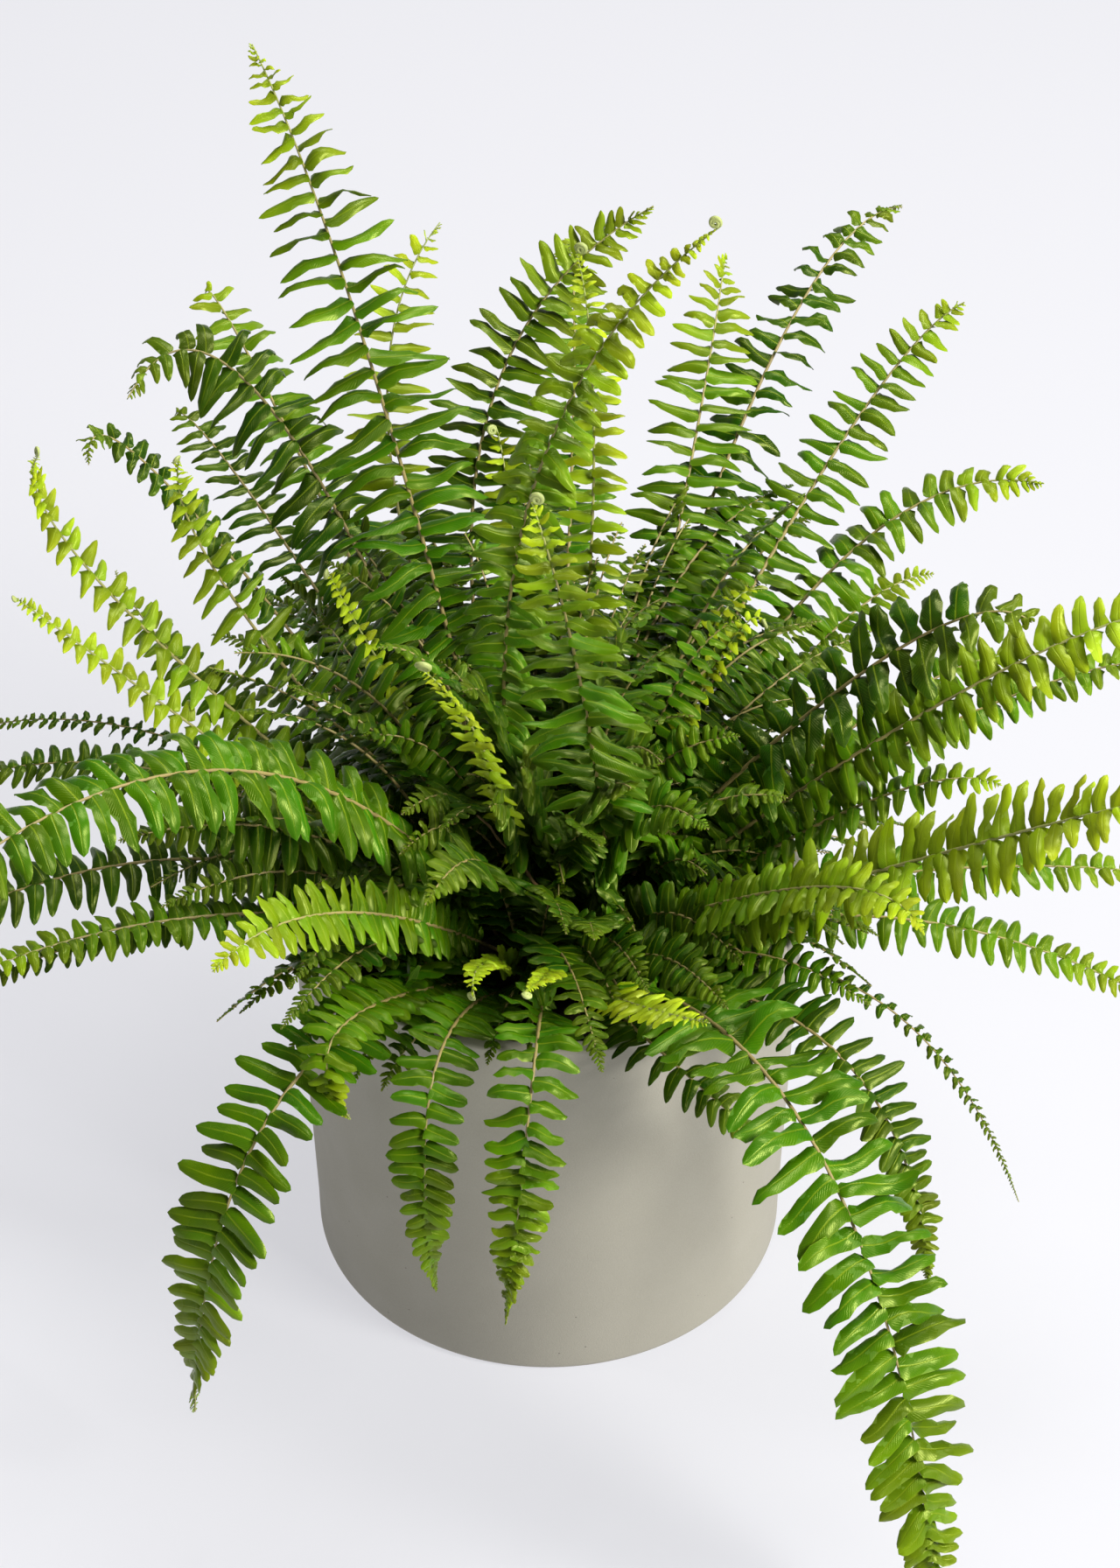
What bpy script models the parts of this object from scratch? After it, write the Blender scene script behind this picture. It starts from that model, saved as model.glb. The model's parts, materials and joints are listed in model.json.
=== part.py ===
"""A potted sword fern: a plain round planter, its soil, the crown and every frond as its own solid.

Units are metres, +Z is up, and the origin is the centre of the planter's underside.
Azimuth 0 points along +X and 90 along +Y; the side that faces the viewer is at 270.
"""

import bpy
import bmesh
import numpy as np
from mathutils import Vector

# Planter
POT_HEIGHT = 0.213
POT_TOP_RADIUS = 0.120
POT_BASE_RADIUS = 0.115
POT_WALL = 0.008
POT_FLOOR = 0.012
POT_EDGE_ROUND = 0.004
RIM_EDGE_ROUND = 0.0015
POT_SIDES = 64

# Soil and crown
SOIL_BELOW_RIM = 0.032
SOIL_MOUND = 0.004
SOIL_SHOULDER = 0.88
SOIL_SHOULDER_DROP = 0.4
CROWN_RADIUS = 0.066
CROWN_HEIGHT = 0.020
CROWN_EDGE = 0.002
CROWN_RINGS = 5
CROWN_SIDES = 28

# Fronds; the upright ones keep their places about the crown, whatever planter they stand in
HEART_RADIUS = 0.120
STIPE_WIDTH = 0.0030
STIPE_SHARE = 0.14
BLADE_SHARE = 0.55
BLADE_THICKNESS = 0.0030
BLADE_KEEL = 0.0015
WIDEST_AT = 0.45
SWELL_POWER = 0.8
TAPER_POWER = 0.7
TURNED_AT = 0.3
NARROW_TIP_FROM = 0.9
STATION_SPACING = 0.038
FEWEST_STATIONS = 7
TIP_WIDTH = 0.0016
MIDRIB_STATIONS = 7

CLEARANCE = 0.0003

SOIL_LEVEL = POT_HEIGHT - SOIL_BELOW_RIM
CM = 0.01

POT_GREY = (0.33, 0.32, 0.28, 1.0)
SOIL_BROWN = (0.010, 0.008, 0.006, 1.0)
CROWN_BROWN = (0.045, 0.025, 0.012, 1.0)
STEM_BROWN = (0.16, 0.07, 0.03, 1.0)
LEAF_DARK = (0.035, 0.075, 0.012, 1.0)
LEAF_MID = (0.075, 0.150, 0.020, 1.0)
LEAF_YOUNG = (0.260, 0.380, 0.045, 1.0)

# Every frond: name, tone, pinna length, crown place (azimuth, radius), where it passes
# halfway and where its tip is, both as (azimuth, out from an edge circle, up from the rim),
# and how far its face is turned about its own rib. Lengths in cm, angles in degrees.
# Upright fronds are placed out from the heart circle.
UPRIGHT_FRONDS = (
    ("tallest_frond", LEAF_MID, 3.4, (150, 1.8), (137, -1.7, 23.0), (147, 2.5, 38.6), 35),
    ("centre_near_frond", LEAF_MID, 2.4, (225, 1.4), (250, -9.0, 22.0), (323, -3.6, 37.4), -91),
    ("centre_yellow_frond", LEAF_YOUNG, 1.9, (60, 1.6), (68, -6.6, 18.3), (78, -5.9, 30.0), 10),
    ("centre_front_frond", LEAF_YOUNG, 2.8, (335, 3.4), (280, -2.9, 17.3), (267, 0.0, 29.4), 0),
    ("centre_short_frond", LEAF_YOUNG, 1.7, (100, 2.6), (99, -2.9, 11.2), (101, 0.2, 17.0), 0),
    ("centre_dark_frond", LEAF_DARK, 2.5, (115, 2.2), (105, 0.4, 15.6), (73, 4.7, 26.4), 0),
    ("back_left_light_frond", LEAF_MID, 1.7, (114, 3.8), (115, 5.6, 12.4), (102, 12.5, 21.0), 0),
    ("back_left_pale_frond", LEAF_MID, 2.0, (128, 4.2), (129, 7.3, 15.0), (129, 13.7, 19.7), -10),
    ("back_left_arching_frond", LEAF_DARK, 3.0, (140, 3.0), (136, 5.2, 17.8), (152, 9.5, 20.0), 15),
    ("back_straight_frond", LEAF_MID, 2.7, (51, 4.6), (65, 3.6, 12.2), (70, 13.5, 19.2), 0),
    ("back_right_dark_frond", LEAF_DARK, 2.4, (58, 4.0), (62, 10.7, 15.3), (58, 21.2, 19.5), 0),
    ("back_right_frond", LEAF_MID, 2.6, (38, 2.8), (50, 8.8, 12.4), (45, 16.2, 18.9), 0),
    ("back_right_arching_frond", LEAF_MID, 2.7, (22, 3.6), (41, 6.4, 9.5), (27, 14.1, 14.0), 15),
    ("back_right_small_frond", LEAF_YOUNG, 1.2, (41, 5.9), (47, -1.5, 7.3), (44, 2.3, 9.4), 0),
    ("rear_upper_frond", LEAF_MID, 2.4, (86, 4.2), (86, 6.5, 14.5), (88, 19.0, 16.0), 0),
    ("left_curled_frond", LEAF_DARK, 1.6, (160, 3.6), (160, 5.2, 17.2), (169, 8.5, 20.5), -10),
    ("left_pale_frond", LEAF_YOUNG, 1.8, (172, 2.6), (166, 1.9, 12.6), (173, 3.9, 22.1), 25),
    ("left_far_pale_frond", LEAF_YOUNG, 1.6, (184, 3.4), (183, 6.1, 16.0), (191, 9.2, 26.2), 15),
    ("left_yellow_frond", LEAF_YOUNG, 1.5, (190, 4.2), (190, 4.9, 12.5), (193, 10.9, 19.9), 10),
    ("left_near_frond", LEAF_MID, 3.0, (222, 3.2), (222, 6.1, 16.3), (221, 24.0, 15.5), 0),
    ("left_bright_frond", LEAF_YOUNG, 1.8, (238, 3.8), (238, 4.4, 10.1), (236, 12.1, 12.1), 0),
    ("front_small_frond_left", LEAF_YOUNG, 1.2, (258, 4.2), (258, 1.3, 6.3), (259, 4.3, 7.0), 0),
    ("front_small_frond_right", LEAF_YOUNG, 1.1, (272, 4.2), (270, 2.0, 6.7), (267, 7.0, 10.0), 0),
    ("front_young_frond", LEAF_YOUNG, 1.8, (284, 5.0), (284, 3.4, 5.8), (288, 9.1, 9.3), 0),
    ("right_near_frond", LEAF_YOUNG, 3.0, (320, 4.2), (323, 9.6, 12.8), (324, 17.0, 18.3), 0),
    ("right_bright_frond", LEAF_YOUNG, 1.6, (308, 3.6), (310, 5.2, 10.8), (312, 11.0, 11.4), 0),
    ("right_level_frond", LEAF_MID, 1.9, (338, 4.4), (340, 2.7, 8.6), (343, 8.6, 10.3), 0),
    ("right_far_yellow_frond", LEAF_YOUNG, 2.3, (346, 3.6), (347, 6.1, 13.9), (349, 16.0, 19.6), 0),
    ("right_dark_frond", LEAF_DARK, 2.9, (356, 2.6), (348, 2.5, 14.8), (346, 9.1, 18.4), 0),
    ("right_young_frond", LEAF_YOUNG, 1.0, (14, 2.6), (15, -4.4, 10.6), (12, -2.1, 13.2), 0),
    ("young_curled_frond", LEAF_YOUNG, 1.5, (250, 2.4), (251, -4.6, 12.5), (242, -0.7, 19.8), 0),
    ("young_thin_frond", LEAF_YOUNG, 1.0, (160, 1.4), (158, -4.0, 10.1), (163, -1.8, 15.4), 0),
)

# Low and hanging fronds are placed out from the planter's rim, which they pass over.
SPREADING_FRONDS = (
    ("back_left_low_frond", LEAF_DARK, 2.2, (124, 5.2), (125, 12.5, 6.9), (126, 20.0, 9.0), -10),
    ("back_right_low_frond", LEAF_MID, 1.9, (33, 5.7), (43, 5.7, 4.3), (40, 12.8, 5.9), 0),
    ("rear_low_frond_left", LEAF_MID, 2.4, (112, 5.6), (112, 7.0, 5.5), (110, 19.0, -3.0), 0),
    ("rear_low_frond_middle", LEAF_DARK, 2.6, (90, 5.6), (90, 7.5, 6.5), (92, 20.0, 0.5), 0),
    ("rear_low_frond_right", LEAF_MID, 2.4, (70, 5.6), (68, 7.0, 5.0), (70, 18.0, -4.0), 0),
    ("left_back_frond", LEAF_MID, 1.8, (150, 4.6), (150, 5.8, 3.5), (150, 11.7, 9.1), 0),
    ("left_thin_frond", LEAF_DARK, 0.9, (157, 5.4), (157, 8.3, 2.4), (157, 21.0, -2.0), 0),
    ("left_hidden_frond", LEAF_DARK, 1.7, (168, 5.4), (165, 7.6, 2.6), (168, 20.0, -1.0), 0),
    ("left_dark_frond", LEAF_DARK, 2.5, (186, 5.2), (192, 6.8, 4.4), (192, 22.0, -1.0), 0),
    ("left_low_pale_frond", LEAF_MID, 1.7, (202, 4.4), (202, 5.7, 3.4), (204, 18.0, 3.4), 0),
    ("left_low_thin_frond", LEAF_DARK, 1.4, (196, 6.0), (196, 5.7, 1.6), (192, 18.0, -3.2), 0),
    ("front_left_hanging_frond", LEAF_MID, 2.5, (230, 5.8), (237, 9.6, 2.4), (230, 13.0, -15.4), 0),
    ("front_left_short_frond", LEAF_MID, 1.7, (240, 5.2), (241, 5.8, 5.2), (243, 6.8, 0.6), 0),
    ("front_left_small_frond", LEAF_DARK, 1.2, (246, 6.0), (246, 1.0, 1.6), (242, 3.6, -0.6), 0),
    ("front_hanging_frond_left", LEAF_MID, 1.9, (252, 5.4), (254, 5.6, 3.6), (254, 6.2, -9.4), 0),
    ("front_hanging_frond_right", LEAF_MID, 2.0, (268, 5.8), (268, 6.4, 4.8), (264, 6.6, -10.4), 0),
    ("front_right_short_frond", LEAF_DARK, 2.0, (292, 5.6), (291, 2.0, 1.1), (305, 5.1, -3.8), 0),
    ("front_right_hanging_frond", LEAF_MID, 3.3, (298, 5.2), (297, 12.8, 3.7), (300, 21.6, -17.7), 0),
    ("front_right_dark_frond", LEAF_DARK, 2.2, (312, 5.8), (314, 6.5, 1.0), (317, 11.4, -10.7), 0),
    ("front_right_thin_frond", LEAF_DARK, 0.9, (326, 6.0), (328, 5.2, 0.7), (331, 12.6, -9.5), 0),
    ("right_low_grey_frond", LEAF_MID, 2.0, (342, 5.6), (344, 5.9, 1.6), (347, 18.0, -3.0), 0),
    ("right_low_frond", LEAF_MID, 2.0, (354, 5.6), (353, 6.0, 2.4), (356, 19.0, 1.4), 0),
    ("right_back_frond", LEAF_MID, 1.7, (8, 4.6), (9, 8.1, 7.5), (4, 18.0, 11.0), 0),
    ("right_back_low_frond", LEAF_MID, 1.9, (26, 5.2), (25, 6.7, 4.7), (24, 13.0, 4.7), 0),
)

DRIED_MIDRIB = ((284, 3.4), (262, -7.0, 4.0), (243, -5.3, 8.6))


def clear_scene():
    for obj in list(bpy.data.objects):
        bpy.data.objects.remove(obj, do_unlink=True)


def material(name, colour, roughness):
    made = bpy.data.materials.get(name) or bpy.data.materials.new(name)
    made.use_nodes = True
    surface = made.node_tree.nodes["Principled BSDF"]
    surface.inputs["Base Color"].default_value = colour
    surface.inputs["Roughness"].default_value = roughness
    surface.inputs["Metallic"].default_value = 0.0
    return made


def add_object(name, mesh_data, finish):
    obj = bpy.data.objects.new(name, mesh_data)
    bpy.context.scene.collection.objects.link(obj)
    mesh_data.materials.append(finish)
    return obj


def corner_arc(centre, radius, start, end, steps):
    """Points of an arc in the (radius, height) plane, from one angle to another in degrees."""
    angles = np.radians(np.linspace(start, end, steps))
    return [(centre[0] + radius * np.cos(a), centre[1] + radius * np.sin(a)) for a in angles]


def turned(name, profile, sides, finish):
    """A solid of revolution about Z; the profile starts and ends on the axis, underside first."""
    bm = bmesh.new()
    rings = []
    for radius, height in profile:
        if radius < 1e-6:
            rings.append([bm.verts.new((0.0, 0.0, height))])
            continue
        angles = [2 * np.pi * k / sides for k in range(sides)]
        rings.append([bm.verts.new((radius * np.cos(a), radius * np.sin(a), height)) for a in angles])
    for lower, upper in zip(rings, rings[1:]):
        for k in range(sides):
            nxt = (k + 1) % sides
            corners = [lower[k % len(lower)], lower[nxt % len(lower)]]
            corners += [upper[nxt % len(upper)], upper[k % len(upper)]]
            bm.faces.new(list(dict.fromkeys(corners)))
    bmesh.ops.recalc_face_normals(bm, faces=bm.faces)
    mesh_data = bpy.data.meshes.new(name)
    bm.to_mesh(mesh_data)
    bm.free()
    mesh_data.shade_smooth()
    mesh_data.set_sharp_from_angle(angle=np.radians(35))
    return add_object(name, mesh_data, finish)


def outer_radius(height):
    """Radius of the planter's outside, which widens evenly from base to rim."""
    return POT_BASE_RADIUS + (POT_TOP_RADIUS - POT_BASE_RADIUS) * height / POT_HEIGHT


def build_pot():
    base = corner_arc((outer_radius(0) - POT_EDGE_ROUND, POT_EDGE_ROUND), POT_EDGE_ROUND, -90, 0, 4)
    rim_centre = POT_HEIGHT - RIM_EDGE_ROUND
    rim_out = corner_arc((POT_TOP_RADIUS - RIM_EDGE_ROUND, rim_centre), RIM_EDGE_ROUND, 0, 90, 3)
    rim_in_radius = POT_TOP_RADIUS - POT_WALL + RIM_EDGE_ROUND
    rim_in = corner_arc((rim_in_radius, rim_centre), RIM_EDGE_ROUND, 90, 180, 3)
    inside = [(outer_radius(POT_FLOOR) - POT_WALL, POT_FLOOR), (0.0, POT_FLOOR)]
    profile = [(0.0, 0.0)] + base + rim_out + rim_in + inside
    turned("pot", profile, POT_SIDES, material("pot_grey", POT_GREY, 0.75))


def build_soil():
    gap = POT_WALL + CLEARANCE * 2
    foot = POT_FLOOR + CLEARANCE
    edge_radius = outer_radius(SOIL_LEVEL) - gap
    flat_radius = CROWN_RADIUS + CLEARANCE
    profile = [(0.0, foot), (outer_radius(foot) - gap, foot), (edge_radius, SOIL_LEVEL - SOIL_MOUND)]
    shoulder_height = SOIL_LEVEL - SOIL_MOUND * SOIL_SHOULDER_DROP
    profile += [(edge_radius * SOIL_SHOULDER, shoulder_height), (flat_radius, SOIL_LEVEL)]
    profile += [(0.0, SOIL_LEVEL)]
    turned("potting_soil", profile, POT_SIDES, material("soil_brown", SOIL_BROWN, 0.95))


def dome_height(radius):
    """Top of the crown at a radius: a flat-bottomed dome that falls off with the square of the radius."""
    share = min(radius / CROWN_RADIUS, 1.0)
    return SOIL_LEVEL + CLEARANCE + CROWN_EDGE + (CROWN_HEIGHT - CROWN_EDGE) * (1 - share**2)


def build_crown():
    foot = SOIL_LEVEL + CLEARANCE
    radii = np.linspace(CROWN_RADIUS, 0.0, CROWN_RINGS + 1)
    profile = [(0.0, foot), (CROWN_RADIUS, foot)] + [(r, dome_height(r)) for r in radii]
    turned("rhizome_crown", profile, CROWN_SIDES, material("crown_brown", CROWN_BROWN, 0.9))


def around(azimuth, radius, height):
    angle = np.radians(azimuth)
    return np.array((radius * np.cos(angle), radius * np.sin(angle), height))


def from_edge(edge_radius, place):
    """A place given as azimuth, cm out from a circle about the axis, and cm up from the rim's height."""
    azimuth, out, up = place
    return around(azimuth, edge_radius + out * CM, POT_HEIGHT + up * CM)


def on_crown(azimuth, radius):
    return around(azimuth, radius * CM, dome_height(radius * CM) + CLEARANCE)


def arc_through(start, middle, end, shares):
    """The quadratic curve that passes through the middle point halfway, and its unit tangents."""
    control = 2 * middle - (start + end) / 2
    t = np.asarray(shares)[:, None]
    points = (1 - t) ** 2 * start + 2 * t * (1 - t) * control + t**2 * end
    tangents = 2 * (1 - t) * (control - start) + 2 * t * (end - control)
    return points, tangents / np.linalg.norm(tangents, axis=1, keepdims=True)


def half_widths(shares, pinna_length):
    """Bare stipe first, then a blade that swells to its widest and tapers to a narrow tip."""
    rise = np.clip((shares - STIPE_SHARE) / (WIDEST_AT - STIPE_SHARE), 0, 1)
    fall = np.clip((1 - shares) / (1 - WIDEST_AT), 0, 1)
    shape = np.sin(rise * np.pi / 2) ** SWELL_POWER * fall**TAPER_POWER
    blade = pinna_length * CM * BLADE_SHARE * shape
    bare = np.where(shares < NARROW_TIP_FROM, STIPE_WIDTH, TIP_WIDTH) / 2
    return np.maximum(blade, bare)


def ribbon(name, points, tangents, widths, turn, thickness, finish):
    """A closed strip with a three-sided section: a ridge along the rib and two thin edges below it."""
    chord = points[-1] - points[0]
    across = np.cross(chord, (0.0, 0.0, 1.0))
    across = across / np.linalg.norm(across)
    side = across - tangents * (tangents @ across)[:, None]
    side /= np.linalg.norm(side, axis=1, keepdims=True)
    face = np.cross(side, tangents)
    angle = np.radians(turn) * np.clip(np.linspace(0, 1 / TURNED_AT, len(points)), 0, 1)[:, None]
    side, face = side * np.cos(angle) + face * np.sin(angle), face * np.cos(angle) - side * np.sin(angle)
    drop = face * BLADE_KEEL
    left = points - side * widths[:, None] - drop
    right = points + side * widths[:, None] - drop
    ridge = points + face * (thickness - BLADE_KEEL)
    rings = np.stack([left, right, ridge], axis=1)
    for corner in rings[0]:
        corner[2] = dome_height(np.hypot(corner[0], corner[1])) + CLEARANCE
    bm = bmesh.new()
    verts = [[bm.verts.new(Vector(corner)) for corner in ring] for ring in rings]
    for lower, upper in zip(verts, verts[1:]):
        for k in range(3):
            nxt = (k + 1) % 3
            bm.faces.new((lower[k], lower[nxt], upper[nxt], upper[k]))
    bm.faces.new(verts[0][::-1])
    bm.faces.new(verts[-1])
    bmesh.ops.triangulate(bm, faces=bm.faces)
    bmesh.ops.recalc_face_normals(bm, faces=bm.faces)
    mesh_data = bpy.data.meshes.new(name)
    bm.to_mesh(mesh_data)
    bm.free()
    return add_object(name, mesh_data, finish)


def build_frond(edge_radius, name, tone, pinna_length, crown_place, halfway, tip, turn):
    start = on_crown(*crown_place)
    middle, end = from_edge(edge_radius, halfway), from_edge(edge_radius, tip)
    length = np.linalg.norm(middle - start) + np.linalg.norm(end - middle)
    count = max(FEWEST_STATIONS, int(length / STATION_SPACING) + 1)
    shares = np.linspace(0, 1, count)
    points, tangents = arc_through(start, middle, end, shares)
    tone_name = {LEAF_DARK: "leaf_dark", LEAF_MID: "leaf_mid", LEAF_YOUNG: "leaf_young"}[tone]
    finish = material(tone_name, tone, 0.45)
    widths = half_widths(shares, pinna_length)
    ribbon(name, points, tangents, widths, turn, BLADE_THICKNESS, finish)


def build_dried_midrib():
    crown_place, halfway, tip = DRIED_MIDRIB
    shares = np.linspace(0, 1, MIDRIB_STATIONS)
    middle, end = from_edge(HEART_RADIUS, halfway), from_edge(HEART_RADIUS, tip)
    points, tangents = arc_through(on_crown(*crown_place), middle, end, shares)
    widths = np.full(len(shares), STIPE_WIDTH / 2)
    ribbon("dried_midrib", points, tangents, widths, 0, STIPE_WIDTH, material("stem_brown", STEM_BROWN, 0.7))


def main():
    clear_scene()
    build_pot()
    build_soil()
    build_crown()
    for frond in UPRIGHT_FRONDS:
        build_frond(HEART_RADIUS, *frond)
    for frond in SPREADING_FRONDS:
        build_frond(POT_TOP_RADIUS, *frond)
    build_dried_midrib()


main()
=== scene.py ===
"""Dresses the fixed frame of a potted sword fern: planter, soil, crown and leafy fronds.

Laid out as an add-on: settings in property groups, one operator for each piece or group of like
pieces, and a sidebar panel. Run as a script it builds everything once, in order.
"""

import json

import bpy
import numpy as np
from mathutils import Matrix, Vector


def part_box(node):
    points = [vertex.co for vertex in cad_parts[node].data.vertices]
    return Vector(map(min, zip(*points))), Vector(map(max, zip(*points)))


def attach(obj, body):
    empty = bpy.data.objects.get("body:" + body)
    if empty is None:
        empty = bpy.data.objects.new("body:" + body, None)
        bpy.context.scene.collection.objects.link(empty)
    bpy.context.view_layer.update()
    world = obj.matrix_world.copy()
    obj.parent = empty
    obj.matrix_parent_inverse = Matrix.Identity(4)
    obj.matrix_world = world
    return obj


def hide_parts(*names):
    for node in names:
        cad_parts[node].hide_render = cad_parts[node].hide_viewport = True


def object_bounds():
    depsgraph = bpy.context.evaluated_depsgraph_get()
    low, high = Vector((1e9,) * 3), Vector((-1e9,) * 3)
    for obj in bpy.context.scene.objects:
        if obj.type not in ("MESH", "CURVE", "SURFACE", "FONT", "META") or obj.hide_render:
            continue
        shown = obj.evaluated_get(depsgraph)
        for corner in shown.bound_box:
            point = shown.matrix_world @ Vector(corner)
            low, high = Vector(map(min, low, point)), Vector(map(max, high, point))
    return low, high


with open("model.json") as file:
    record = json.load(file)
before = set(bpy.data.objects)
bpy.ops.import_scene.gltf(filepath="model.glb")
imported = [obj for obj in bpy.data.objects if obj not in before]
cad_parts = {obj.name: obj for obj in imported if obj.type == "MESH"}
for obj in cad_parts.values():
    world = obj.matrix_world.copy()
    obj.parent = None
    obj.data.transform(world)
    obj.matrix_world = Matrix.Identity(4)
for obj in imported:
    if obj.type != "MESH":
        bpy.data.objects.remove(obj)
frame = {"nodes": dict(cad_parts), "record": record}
CAD_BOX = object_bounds()

bl_info = {
    "name": "Potted Sword Fern",
    "version": (1, 0, 0),
    "blender": (4, 5, 0),
    "location": "View3D > Sidebar > Fern",
    "description": "Planter, soil, crown and fronds with leaflets, built on a fixed frame",
    "category": "Object",
}

NODE_SLOT = {part["node"]: part["material_slot"] for part in frame["record"]["subparts"]}
FROND_NODES = sorted(name for name, slot in NODE_SLOT.items() if slot.startswith("leaf_"))
UP = np.array((0.0, 0.0, 1.0))
# The side that the plant has grown towards
WINDOW = np.array((0.1, -0.7, 0.7))

# Fronds whose growing tip is still coiled, with the coil's outer radius in metres
COILED_TIPS = {
    "centre_near_frond": 0.0024,
    "centre_yellow_frond": 0.0026,
    "centre_front_frond": 0.0026,
    "centre_short_frond": 0.0022,
    "left_far_pale_frond": 0.0019,
    "left_pale_frond": 0.0019,
    "young_curled_frond": 0.0032,
    "young_thin_frond": 0.0022,
    "right_young_frond": 0.0022,
    "back_right_small_frond": 0.0019,
    "front_small_frond_left": 0.0019,
    "front_small_frond_right": 0.0020,
    "left_yellow_frond": 0.0014,
    "right_far_yellow_frond": 0.0019,
}

# How young the growth is along a frond: at its base, at the two shares below, and at its tip
YOUTH_SHARES = (0, 0.35, 0.7, 1.0)
YOUTH_ALONG = {
    "leaf_dark": (0.0, 0.0, 0.04, 0.30),
    "leaf_mid": (0.0, 0.03, 0.14, 0.75),
    "leaf_young": (0.03, 0.20, 0.55, 1.0),
}
PALE = (0.35, 0.75, 0.95, 1.0)

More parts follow.
